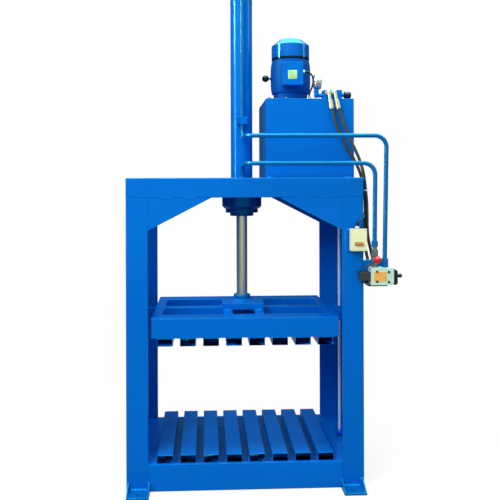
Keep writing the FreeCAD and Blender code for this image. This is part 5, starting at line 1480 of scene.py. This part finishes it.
@dataclass
class PressureGauge(Assembly):
    """The pressure gauge that faces right: case, bezel, dial, scale and window."""

    case_edge: float = 0.0006
    face: float = 0.4075
    y: float = -0.175
    z: float = 2.075
    radius: float = 0.0375
    wall: float = 0.004
    floor: float = 0.3995
    dial_wall: float = 0.0004
    window_place: float = -0.0022
    window_wall: float = 0.0010
    window_gap: float = 0.0003
    round_steps: int = 72
    # The scale: strokes over a sweep, each with width, length and distance from the rim.
    ticks: int = 41
    sweep: float = 270.0
    long_every: int = 8
    long_stroke: Point = (0.0009, 0.0056, 0.0062)
    short_stroke: Point = (0.0005, 0.003, 0.0048)
    stroke_corner: float = 0.0001
    ink: float = 0.00012

    @property
    def inner(self) -> float:
        """The radius inside the case's wall."""
        return self.radius - self.wall

    def turned(
        self, profile: Sequence[tuple[float, float]], place: float, loop: bool = False
    ) -> Skin:
        """Turns a profile about the gauge's axis, from a place along it."""
        return lathe(profile, (place, self.y, self.z), RIGHT, self.round_steps, loop)

    def build(self) -> None:
        """Dresses the gauge's nodes and adds what is inside its rim."""
        self.dress("gauge_case", Surface.GAUGE_STEEL, self.case_edge)
        self.dress("gauge_pointer", Surface.BLACK_PLASTIC)
        dial = self.turned([(0.0, self.inner), (self.dial_wall, self.inner)], self.floor)
        Shell().add(dial).piece("gauge_dial", Surface.DIAL_WHITE)
        self.build_scale()
        self.build_bezel()
        clear = self.inner - self.window_gap
        pane = [(0.0, clear), (self.window_wall, clear)]
        window = self.turned(pane, self.face + self.window_place)
        Shell().add(window).piece("gauge_window", Surface.WINDOW)

    def build_bezel(self) -> None:
        """Adds the rolled ring that holds the window: it overlaps the case's rim all round."""
        inner, rim = self.inner, self.radius
        profile = [
            (-0.003, inner - 0.0002), (-0.003, rim - 0.001), (0.0, rim + 0.0006),
            (0.0012, rim - 0.0004), (0.0014, inner + 0.0012), (0.0, inner - 0.0002),
        ]
        bezel = self.turned(profile, self.face, loop=True)
        Shell().add(bezel).piece("gauge_bezel", Surface.BOLT_ZINC)

    def build_scale(self) -> None:
        """Prints the scale: strokes at even turns about the dial's middle, some of them long."""
        marks = Shell()
        middle = np.array([self.floor + self.dial_wall, self.y, self.z])
        for step in range(self.ticks):
            angle = math.radians(-self.sweep / 2.0 + self.sweep * step / (self.ticks - 1))
            out = np.array([0.0, math.sin(angle), math.cos(angle)])
            stroke = self.short_stroke if step % self.long_every else self.long_stroke
            width, length, inset = stroke
            outline = rounded_outline(width, length, self.stroke_corner)
            centre = middle + out * (self.inner - inset)
            marks.add(slab(outline, centre, np.cross(out, RIGHT), out, self.ink, self.ink / 3.0))
        marks.piece("gauge_scale", Surface.DIAL_INK)


class Stiffness(Enum):
    """How much a cord resists bending."""

    STIFF = "stiff"
    MEDIUM = "medium"


@dataclass(frozen=True)
class Cord:
    """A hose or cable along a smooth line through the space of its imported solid."""

    name: str
    node: str
    diameter: float
    length: float
    stiffness: Stiffness
    finish: Surface
    route: tuple[Point, ...]
    # How smooth the line is, the points on each stretch of it, and those of a quarter turn round.
    order: int = 3
    steps: int = 10
    round_steps: int = 5

    def build(self, pieces: Sequence[bpy.types.Object] = ()) -> bpy.types.Object:
        """Args:
            pieces: the separate pieces on the cord; not used.

        Returns:
            The curve object.
        """
        data = bpy.data.curves.new(self.name, "CURVE")
        data.dimensions = "3D"
        line = data.splines.new("NURBS")
        line.points.add(len(self.route) - 1)
        weighted = np.ones((len(self.route), 4))
        weighted[:, :3] = self.route
        line.points.foreach_set("co", weighted.ravel())
        line.order_u = self.order
        line.use_endpoint_u = True
        line.resolution_u = self.steps
        data.bevel_depth = self.diameter / 2.0
        data.bevel_resolution = self.round_steps
        data.use_fill_caps = True
        data.materials.append(self.finish.material)
        made = bpy.data.objects.new(self.name, data)
        bpy.context.scene.collection.objects.link(made)
        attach(made, Body.FRAME.value)
        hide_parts(self.node)
        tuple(self.route[0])
        return report(made)


PRESSURE_HOSE = Cord(
    "pressure_hose_line", "pressure_hose", 0.016, 0.820, Stiffness.STIFF, Surface.HOSE_RUBBER,
    (
        (0.455, -0.245, 1.928), (0.467, -0.244, 1.880), (0.485, -0.242, 1.827),
        (0.509, -0.239, 1.772), (0.541, -0.236, 1.718), (0.573, -0.234, 1.665),
        (0.598, -0.233, 1.612), (0.613, -0.233, 1.568), (0.6225, -0.233, 1.524),
        (0.6285, -0.233, 1.478), (0.6303, -0.234, 1.432), (0.6298, -0.237, 1.376),
        (0.6235, -0.241, 1.320), (0.6210, -0.247, 1.270), (0.6220, -0.257, 1.222),
        (0.6250, -0.270, 1.184), (0.630, -0.283, 1.150),
    ),
)
RETURN_HOSE = Cord(
    "return_hose_line", "return_hose", 0.016, 0.806, Stiffness.STIFF, Surface.HOSE_RUBBER,
    (
        (0.490, -0.245, 1.928), (0.506, -0.246, 1.875), (0.526, -0.248, 1.820),
        (0.547, -0.250, 1.770), (0.571, -0.252, 1.721), (0.594, -0.254, 1.670),
        (0.612, -0.254, 1.615), (0.6215, -0.254, 1.562), (0.6275, -0.254, 1.508),
        (0.632, -0.254, 1.464), (0.6343, -0.255, 1.420), (0.6344, -0.257, 1.370),
        (0.6335, -0.2605, 1.322), (0.6345, -0.265, 1.277), (0.6395, -0.270, 1.236),
        (0.6485, -0.278, 1.192), (0.656, -0.283, 1.150),
    ),
)
MOTOR_CABLE = Cord(
    "motor_cable_line", "motor_cable", 0.009, 1.381, Stiffness.MEDIUM, Surface.SHEATH,
    (
        (0.334, -0.135, 2.1362), (0.34, -0.135, 2.1362), (0.3545, -0.1346, 2.1332),
        (0.3667, -0.133, 2.125), (0.3749, -0.13, 2.1128), (0.3786, -0.1255, 2.0984),
        (0.379, -0.1195, 2.08), (0.3755, -0.1135, 2.061), (0.3685, -0.108, 2.043),
        (0.3625, -0.1025, 2.0275), (0.3615, -0.0965, 2.0135), (0.3655, -0.0876, 2.003),
        (0.372, -0.0765, 1.996), (0.3795, -0.0625, 1.9917), (0.389, -0.043, 1.9896),
        (0.401, -0.02, 1.9893), (0.416, 0.002, 1.9893), (0.438, 0.022, 1.9892),
        (0.47, 0.042, 1.989), (0.512, 0.0545, 1.991), (0.547, 0.054, 1.9962),
        (0.563, 0.0525, 1.9972), (0.5773, 0.0505, 1.9935), (0.5887, 0.0485, 1.9853),
        (0.5962, 0.0465, 1.9733), (0.5993, 0.0445, 1.959), (0.5985, 0.0423, 1.938),
        (0.59, 0.0385, 1.88), (0.5855, 0.036, 1.8), (0.586, 0.034, 1.71),
        (0.592, 0.03, 1.64), (0.606, 0.022, 1.575), (0.6065, 0.002, 1.51),
        (0.606, -0.05, 1.46), (0.6065, -0.12, 1.425), (0.606, -0.2, 1.402),
        (0.607, -0.255, 1.391), (0.6073, -0.285, 1.383), (0.606, -0.304, 1.377),
        (0.6025, -0.3185, 1.3713), (0.5963, -0.3315, 1.3655), (0.5869, -0.3407, 1.3594),
        (0.5761, -0.3448, 1.3525), (0.5669, -0.3456, 1.3422), (0.562, -0.345, 1.3293),
        (0.5616, -0.3448, 1.324),
    ),
)


@dataclass(frozen=True)
class HoseTie:
    """A flat nylon band pulled round two hoses side by side, with its lock and its loose tail."""

    first: Point = (0.6251, -0.233, 1.504)
    second: Point = (0.6279, -0.254, 1.504)
    radius: float = PRESSURE_HOSE.diameter / 2.0
    width: float = 0.0075
    gap: float = 0.0001
    wall: float = 0.0014
    # The band's section: out from the hoses, in walls, and up, in widths.
    section: tuple[tuple[float, float], ...] = ((0.0, -0.5), (1.0, -0.42), (1.0, 0.42), (0.0, 0.5))
    bend_steps: int = 13
    corner: float = 0.001
    # The lock: width, height and thickness, its place past the second hose and its chamfer.
    lock: Point = (0.007, 0.0085, 0.0055)
    lock_place: tuple[float, float] = (0.001, 0.003)
    lock_edge: float = 0.0006
    # The tail, in the same way, and how far it leans from the band.
    tail: Point = (0.0035, 0.015, 0.0012)
    tail_place: tuple[float, float] = (0.004, 0.0045)
    tail_edge: float = 0.0003
    tail_lean: float = 0.35

    @property
    def along(self) -> np.ndarray:
        """The level direction from the first hose to the second."""
        return unit(np.subtract(self.second, self.first) * (1.0, 1.0, 0.0))

    @property
    def across(self) -> np.ndarray:
        """The level direction square to that."""
        return np.array([self.along[1], -self.along[0], 0.0])

    def band(self) -> Skin:
        """Bends the band: half a turn round each hose, joined by straight stretches.

        One such line for each corner of its section makes the surface.

        Returns:
            The band's surface.
        """
        angle = np.linspace(-math.pi / 2.0, math.pi / 2.0, self.bend_steps)[:, None]
        ahead, aside = np.cos(angle) * self.along, np.sin(angle) * self.across
        rows = []
        for reach, rise in self.section:
            bend = self.radius + self.gap + reach * self.wall
            far = np.asarray(self.second) + bend * (ahead + aside)
            near = np.asarray(self.first) + bend * (aside - ahead)
            ring = np.concatenate([far, near[::-1]])
            rows.append(ring + np.array([0.0, 0.0, rise * self.width]))
        return skin(np.stack(rows), loop=True)

    def build(self) -> bpy.types.Object:
        """Makes the band, its lock at the second hose, and its tail, which stands off to the side.

        Returns:
            The tie.
        """
        along, across = self.along, self.across
        width, height, thick = self.lock
        outline = rounded_outline(width, height, self.corner)
        ahead, aside = self.lock_place
        place = self.second + along * (self.radius + ahead) + across * aside
        lock = slab(outline, place, across, UP, thick, self.lock_edge)
        width, height, thick = self.tail
        outline = rounded_outline(width, height, self.corner)
        ahead, aside = self.tail_place
        place = self.second + along * ahead - across * (self.radius + aside)
        tail = slab(outline, place, UP, self.tail_lean * along - across, thick, self.tail_edge)
        return Shell().add(self.band(), lock, tail).piece("hose_tie", Surface.NYLON)


@dataclass
class Pipework(Assembly):
    """Steel pipes with their unions, the two hoses, their ends and the motor's lead."""

    edge: float = 0.0006
    hose_edge: float = 0.0005
    clamp_edge: float = 0.0012
    # The hoses' upper ends: the bend's corner and the crimp's lower end. Then the lower ends.
    hose_tops: tuple[tuple[Point, Point], ...] = (
        ((0.439, -0.245, 2.016), (0.455, -0.245, 1.928)),
        ((0.470, -0.245, 2.016), (0.490, -0.245, 1.928)),
    )
    hose_feet: tuple[Point, ...] = ((0.630, -0.283, 1.104), (0.656, -0.283, 1.104))
    # The crimped ferrule: its length and its smooth ends, its ridges and what they stand on.
    crimp: float = 0.046
    smooth_ends: tuple[float, float] = (0.004, 0.003)
    ridges: int = 6
    ferrule: float = 0.011
    ridge_foot: float = 0.01155
    ridge_rise: float = 0.0007
    ridge_flatness: float = 0.6
    ridge_steps: int = 55
    round_steps: int = 32
    # The pipe clamp's screws.
    clamp: Point = (0.0235, -0.097, 1.880)
    clamp_pitch: float = 0.020
    clamp_screw: float = 0.0095
    # The motor's lead: its ways out of the two boxes, the nut at the first, and the sleeves.
    motor_way: Point = (1.0, 0.0, -0.03)
    switch_way: Point = (0.1, 0.0, 1.0)
    nut_place: Point = (0.3235, -0.135, 2.1362)
    nut: tuple[tuple[float, float], ...] = ((0.0, 0.0112), (0.0072, 0.0112), (0.0084, 0.0100))
    sleeve: float = 0.022
    sleeve_root: float = 0.0079
    sleeve_taper: float = 0.0027
    rib: float = 0.00035
    rib_pitch: float = 0.0042
    rib_steps: int = 40

    def build(self) -> None:
        """Dresses the pipe nodes and adds the cords, the crimps' ridges and the screws."""
        PRESSURE_HOSE.build([HoseTie().build()])
        RETURN_HOSE.build()
        lead = MOTOR_CABLE.route
        motor_end = self.build_sleeve("motor_lead_sleeve", lead[0], self.motor_way)
        switch_end = self.build_sleeve("switch_lead_sleeve", lead[-1], self.switch_way)
        MOTOR_CABLE.build([motor_end, switch_end])
        self.dress("cap_pipe rod_pipe", Surface.DEEP_ENAMEL, self.edge)
        self.dress("pipe_clamp", Surface.ENAMEL, self.clamp_edge)
        self.dress("rod_port_adapter", Surface.GREY_PLATE, self.edge)
        self.dress("hose_fittings", Surface.ZINC, self.hose_edge)
        self.build_ridges()
        self.build_clamp_screws()
        nut = lathe(self.nut, self.nut_place, RIGHT, 6)
        Shell().add(nut).piece("motor_gland_nut", Surface.BOLT_ZINC)

    def build_sleeve(self, name: str, base: Point, axis: Point) -> bpy.types.Object:
        """Makes a tapered strain relief: its radius falls evenly, and steps out at each rib.

        Args:
            name: the piece's name.
            base: its wide end, at the box.
            axis: the lead's direction there.

        Returns:
            The sleeve.
        """
        along = np.linspace(0.0, self.sleeve, self.rib_steps)
        ribs = self.rib * np.sign(np.sin(along * 2.0 * math.pi / self.rib_pitch))
        radius = self.sleeve_root - self.sleeve_taper * along / self.sleeve + ribs
        sleeve = lathe(list(zip(along, radius)), base, axis, self.round_steps)
        return Shell().add(sleeve).piece(name, Surface.BLACK_PLASTIC)

    def build_ridges(self) -> None:
        """Adds the ridges that the crimp pressed into the ferrules of the four hose ends."""
        ridges = Shell()
        for corner, top in self.hose_tops:
            down = unit(np.subtract(top, corner))
            ridges.add(self.crimp_ridges(np.asarray(top) - down * self.crimp, down))
        for foot in self.hose_feet:
            ridges.add(self.crimp_ridges(foot, UP))
        ridges.piece("ferrule_ridges", Surface.ZINC)

    def crimp_ridges(self, base: Sequence[float], axis: Sequence[float]) -> Skin:
        """Turns a thin sleeve whose radius swells at each ridge, as a flattened sine.

        Args:
            base: the ferrule's end away from the hose.
            axis: the direction towards the hose.

        Returns:
            The sleeve.
        """
        start, end = self.smooth_ends
        along = np.linspace(start, self.crimp - end, self.ridge_steps)
        swell = np.abs(np.sin(along * math.pi * self.ridges / self.crimp))
        radius = self.ridge_foot + self.ridge_rise * swell**self.ridge_flatness
        outer = list(zip(along, radius))
        profile = [(along[0], self.ferrule), *outer, (along[-1], self.ferrule)]
        return lathe(profile, base, axis, self.round_steps, loop=True)

    def build_clamp_screws(self) -> None:
        """Adds the four socket screws of the pipe clamp on the barrel."""
        screws = Shell()
        across, front, level = self.clamp
        for x in LEFT_RIGHT:
            for side in LEFT_RIGHT:
                base = (x * across, front, level + side * self.clamp_pitch / 2.0)
                screws.add(*Fastener(base, FRONT, self.clamp_screw).socket())
        screws.piece("clamp_screws", Surface.DEEP_ENAMEL)


@dataclass
class Controls(Assembly):
    """The hand lever valve and the motor switch."""

    # Softened edges of thin, moulded and cast parts, and of the toggle bar.
    thin_edge: float = 0.0006
    bar_edge: float = 0.0008
    edge: float = 0.001
    cast_edge: float = 0.0015
    # The valve's front, with the blank plate and the four screws beside it.
    valve_front: float = -0.386
    plate_middle: tuple[float, float] = (0.6665, 1.0760)
    plate_size: tuple[float, float] = (0.066, 0.0485)
    plate_corner: float = 0.003
    plate_wall: float = 0.0010
    plate_edge: float = 0.0004
    screws: tuple[tuple[float, float], ...] = (
        (0.6485, 1.1015), (0.7080, 1.1000), (0.6485, 1.0520), (0.7080, 1.0500),
    )
    screw_lift: float = 0.0008
    screw_width: float = 0.0105
    # The four screws in the valve's end cap.
    cap_face: float = 0.7482
    cap_places: tuple[float, float] = (-0.374, -0.332)
    cap_levels: tuple[float, float] = (1.046, 1.098)
    cap_width: float = 0.010
    # The switch: the gland's nut above it, and the screws of its cover.
    gland: Point = (0.5616, -0.3448, 1.3142)
    gland_width: float = 0.0188
    gland_height: float = 0.0100
    gland_bevel: float = 0.0018
    gland_crown: float = 0.88
    cover_front: float = -0.368
    cover_places: tuple[float, float] = (0.5300, 0.5965)
    cover_levels: tuple[float, float] = (1.2095, 1.3060)
    cover_width: float = 0.0065

    def build(self) -> None:
        """Dresses the control nodes and adds their screws, plate and nut."""
        self.dress("valve_strap", Surface.PHOSPHATE, self.thin_edge)
        self.dress("valve_body", Surface.PALE_CASTING, self.cast_edge)
        self.dress("valve_end_cap", Surface.BLACK_PLASTIC, self.edge)
        self.dress("lever_housing", Surface.PHOSPHATE, self.edge)
        self.dress("valve_lever", Surface.PHOSPHATE)
        self.dress("lever_knob", Surface.RED_PLASTIC)
        self.dress("valve_spool", Surface.DRAWN_STEEL)
        self.dress("switch_box", Surface.SWITCH_CASE, self.edge)
        self.dress("switch_toggle", Surface.BROWN_PLASTIC, self.bar_edge)
        self.build_valve_plate()
        self.build_valve_screws()
        self.build_gland_nut()
        self.build_cover_screws()

    def build_valve_plate(self) -> None:
        """Adds the blank plate on the valve's front."""
        across, level = self.plate_middle
        outline = rounded_outline(*self.plate_size, self.plate_corner)
        centre = (across, self.valve_front, level)
        plate = Shell().add(slab(outline, centre, RIGHT, UP, self.plate_wall, self.plate_edge))
        plate.piece("valve_blank_plate", Surface.VALVE_PLATE)

    def build_valve_screws(self) -> None:
        """Adds the socket screws in the valve's front and in its end cap."""
        screws = Shell()
        for x, z in self.screws:
            base = (x, self.valve_front - self.screw_lift, z)
            screws.add(*Fastener(base, FRONT, self.screw_width).socket())
        for y in self.cap_places:
            for z in self.cap_levels:
                screws.add(*Fastener((self.cap_face, y, z), RIGHT, self.cap_width).socket())
        screws.piece("valve_screws", Surface.BLACK_OXIDE)

    def build_gland_nut(self) -> None:
        """Adds the nut of the cable gland: a hexagon, drawn in by its bevel at the top."""
        corner = self.gland_width / 2.0 / math.cos(math.pi / 6.0)
        profile = [
            (0.0, corner), (self.gland_height - self.gland_bevel, corner),
            (self.gland_height, self.gland_crown * corner),
        ]
        nut = Shell().add(lathe(profile, self.gland, UP, steps=6))
        nut.piece("switch_gland_nut", Surface.NYLON)

    def build_cover_screws(self) -> None:
        """Adds the four screws of the switch's cover."""
        screws = Shell()
        for x in self.cover_places:
            for z in self.cover_levels:
                screws.add(*Fastener((x, self.cover_front, z), FRONT, self.cover_width).pan())
        screws.piece("switch_cover_screws", Surface.BOLT_ZINC)

# ---------------------------------------------------------------------------------------------
# Studio
# ---------------------------------------------------------------------------------------------


@dataclass(frozen=True)
class Lamp:
    """One large soft lamp, pointed at a spot on the machine."""

    name: str
    place: Point
    aim: Point
    size: tuple[float, float]
    watts: float
    matt: bool = True
    gloss: bool = True

    def build(self) -> None:
        """Makes the area lamp, which lights matt surfaces, shows in glossy ones, or both."""
        data = bpy.data.lights.new(self.name, "AREA")
        data.shape = "RECTANGLE"
        data.size, data.size_y = self.size
        data.energy = self.watts
        lamp = bpy.data.objects.new(self.name, data)
        bpy.context.scene.collection.objects.link(lamp)
        lamp.location = self.place
        facing = Vector(self.aim) - Vector(self.place)
        lamp.rotation_euler = facing.to_track_quat("-Z", "Y").to_euler()
        lamp.visible_diffuse = self.matt
        lamp.visible_glossy = self.gloss


@dataclass(frozen=True)
class Viewpoint:
    """The photographer's place: a level camera with a shifted lens."""

    place: Point = (-0.1985, -3.4281, 1.5411)
    yaw: float = 0.040
    roll: float = -0.003
    picture: float = 500.0
    focal: float = 619.245
    centre: tuple[float, float] = (230.632, 183.467)
    sensor: float = 36.0
    sight: tuple[float, float] = (0.05, 100.0)

    def build(self) -> None:
        """Makes the camera: focal and centre are in pixels of the square picture."""
        data = bpy.data.cameras.new("camera")
        data.sensor_width = self.sensor
        data.lens = self.sensor * self.focal / self.picture
        data.shift_x = 0.5 - self.centre[0] / self.picture
        data.shift_y = self.centre[1] / self.picture - 0.5
        data.clip_start, data.clip_end = self.sight
        camera = bpy.data.objects.new("camera", data)
        bpy.context.scene.collection.objects.link(camera)
        bpy.context.scene.camera = camera
        forward = Vector((math.sin(self.yaw), math.cos(self.yaw), 0.0))
        level = Vector((math.cos(self.yaw), -math.sin(self.yaw), 0.0))
        right = level * math.cos(self.roll) + Vector(UP) * math.sin(self.roll)
        up = right.cross(forward)
        turned = Matrix((right, up, -forward)).transposed().to_4x4()
        camera.matrix_world = Matrix.Translation(self.place) @ turned


@dataclass(frozen=True)
class Studio:
    """White room: a white background to look at, soft lamps, and a floor that takes a shadow."""

    lamps: tuple[Lamp, ...] = (
        Lamp("key", (-2.2, -3.6, 3.9), (0.0, 0.0, 1.1), (2.4, 2.0), 165.0, gloss=False),
        Lamp("overhead", (0.2, -0.6, 5.4), (0.1, -0.1, 1.0), (3.0, 1.4), 190.0, gloss=False),
        Lamp("left_strip", (-4.15, -0.85, 4.2), (0.0, 0.0, 2.5), (0.5, 2.2), 300.0, matt=False),
        Lamp("low_strip", (-4.1, -1.2, 1.6), (0.0, 0.0, 1.4), (0.7, 2.4), 85.0, matt=False),
        Lamp("right_strip", (4.1, -0.5, 3.9), (0.2, 0.0, 2.4), (0.3, 2.2), 20.0, matt=False),
    )
    # The room as a light on matt surfaces.
    fill: float = 0.62
    # The room in gloss: each pair is a direction's y or z, and the strength or cast from there.
    front_wall: tuple[float, float] = (-0.9, 0.70)
    back_wall: tuple[float, float] = (-0.2, 0.10)
    ceiling_edge: tuple[float, float] = (0.45, 0.0)
    ceiling: tuple[float, float] = (1.0, 9.0)
    neutral_wall: float = -0.95
    cast_wall: float = -0.5
    cast: str = "#88E4F4"
    # The floor: its width, its colours to the eye and as a bounce, and where it turns white.
    floor_size: float = 14.0
    floor_colour: str = "#F4F4F4"
    bounce_colour: str = "#8C8C8C"
    lit_floor: tuple[float, float] = (0.5, 0.8)
    white_floor: tuple[float, float] = (1.7, 1.0)

    def build(self) -> None:
        """Makes the world, the floor and the lamps."""
        scene = bpy.context.scene
        scene.view_settings.view_transform = "Standard"
        self.build_world(scene)
        self.build_floor()
        for lamp in self.lamps:
            lamp.build()

    def build_world(self, scene: bpy.types.Scene) -> None:
        """Makes a world that is white to look at and softer as a light.

        Args:
            scene: the scene that takes the world.
        """
        world = bpy.data.worlds.new("white_room")
        world.use_nodes = True
        tree = world.node_tree
        tree.nodes.clear()
        path = add_node(tree, "ShaderNodeLightPath").outputs
        # What the eye and clear materials see: plain white.
        seen = add_node(
            tree,
            "ShaderNodeMath",
            {0: path["Is Camera Ray"], 1: path["Is Transmission Ray"]},
            operation="MAXIMUM",
        )
        # What gloss mirrors: a room that is brighter in front than behind, with a bright ceiling.
        direction = add_node(tree, "ShaderNodeTexCoord").outputs["Generated"]
        parts = add_node(tree, "ShaderNodeSeparateXYZ", {"Vector": direction}).outputs
        wall, above = (
            add_node(
                tree,
                "ShaderNodeMapRange",
                {
                    "Value": parts[axis],
                    "From Min": start[0],
                    "From Max": end[0],
                    "To Min": start[1],
                    "To Max": end[1],
                },
            ).outputs["Result"]
            for axis, start, end in (
                ("Y", self.front_wall, self.back_wall),
                ("Z", self.ceiling_edge, self.ceiling),
            )
        )
        mirrored = add_node(tree, "ShaderNodeMath", {0: wall, 1: above}, operation="ADD")
        # In a mix node for numbers, input 0 is the share and inputs 2 and 3 are the numbers.
        room = add_node(
            tree,
            "ShaderNodeMix",
            {0: path["Is Glossy Ray"], 2: self.fill, 3: mirrored.outputs["Value"]},
            data_type="FLOAT",
        )
        strength = add_node(
            tree,
            "ShaderNodeMix",
            {0: seen.outputs["Value"], 2: room.outputs[0], 3: 1.0},
            data_type="FLOAT",
        )
        # The wall behind the camera is neutral; the rest of the room has a green-blue cast.
        cast = add_node(
            tree,
            "ShaderNodeMapRange",
            {
                "Value": parts["Y"],
                "From Min": self.neutral_wall,
                "From Max": self.cast_wall,
                "To Min": 0.0,
                "To Max": path["Is Glossy Ray"],
            },
        )
        tint = add_node(
            tree,
            "ShaderNodeMix",
            {0: cast.outputs["Result"], 6: WHITE, 7: linear(self.cast)},
            data_type="RGBA",
        )
        glow = add_node(
            tree,
            "ShaderNodeBackground",
            {"Color": tint.outputs[2], "Strength": strength.outputs[0]},
        )
        add_node(tree, "ShaderNodeOutputWorld", {"Surface": glow.outputs["Background"]})
        scene.world = world

    def build_floor(self) -> None:
        """Makes the floor: white to the eye with a soft shadow at the feet, dark as a bounce."""
        half = self.floor_size / 2
        mesh = bpy.data.meshes.new("floor")
        mesh.from_pydata(
            [(-half, -half, 0), (half, -half, 0), (half, half, 0), (-half, half, 0)],
            [],
            [(0, 1, 2, 3)],
        )
        floor = bpy.data.objects.new("floor", mesh)
        bpy.context.scene.collection.objects.link(floor)
        mesh.materials.append(self.floor_material())

    def floor_material(self) -> bpy.types.Material:
        """Makes the floor's material, which shows the eye and the light two different sides.

        Returns:
            The material.
        """
        made = bpy.data.materials.new("pale_studio_floor")
        made.use_nodes = True
        tree = made.node_tree
        tree.nodes.clear()
        path = add_node(tree, "ShaderNodeLightPath").outputs
        shaded = add_node(tree, "ShaderNodeBsdfDiffuse", {"Color": linear(self.floor_colour)})
        dim = add_node(tree, "ShaderNodeBsdfDiffuse", {"Color": linear(self.bounce_colour)})
        white = add_node(tree, "ShaderNodeEmission", {"Color": WHITE, "Strength": 1.0})
        # The lit floor gives way to plain white within two metres of the machine.
        place = add_node(tree, "ShaderNodeTexCoord").outputs["Object"]
        away = add_node(tree, "ShaderNodeVectorMath", {0: place}, operation="LENGTH")
        fade = add_node(
            tree,
            "ShaderNodeMapRange",
            {
                "Value": away.outputs["Value"],
                "From Min": self.lit_floor[0],
                "From Max": self.white_floor[0],
                "To Min": self.lit_floor[1],
                "To Max": self.white_floor[1],
            },
        )
        eye = add_node(
            tree,
            "ShaderNodeMixShader",
            {
                0: fade.outputs["Result"],
                1: shaded.outputs["BSDF"],
                2: white.outputs["Emission"],
            },
        )
        whole = add_node(
            tree,
            "ShaderNodeMixShader",
            {0: path["Is Camera Ray"], 1: dim.outputs["BSDF"], 2: eye.outputs["Shader"]},
        )
        add_node(tree, "ShaderNodeOutputMaterial", {"Surface": whole.outputs["Shader"]})
        return made


def main() -> None:
    logging.basicConfig(level=logging.INFO, format="%(message)s")
    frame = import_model()
    Viewpoint().build()
    Studio().build()
    for assembly in (
        Pipework,
        WeldedFrame,
        PressCylinder,
        Platen,
        PowerUnit,
        PressureGauge,
        Controls,
    ):
        LOG.info("Building %s", assembly.__name__)
        assembly(frame).build()


if __name__ == "__main__":
    main()
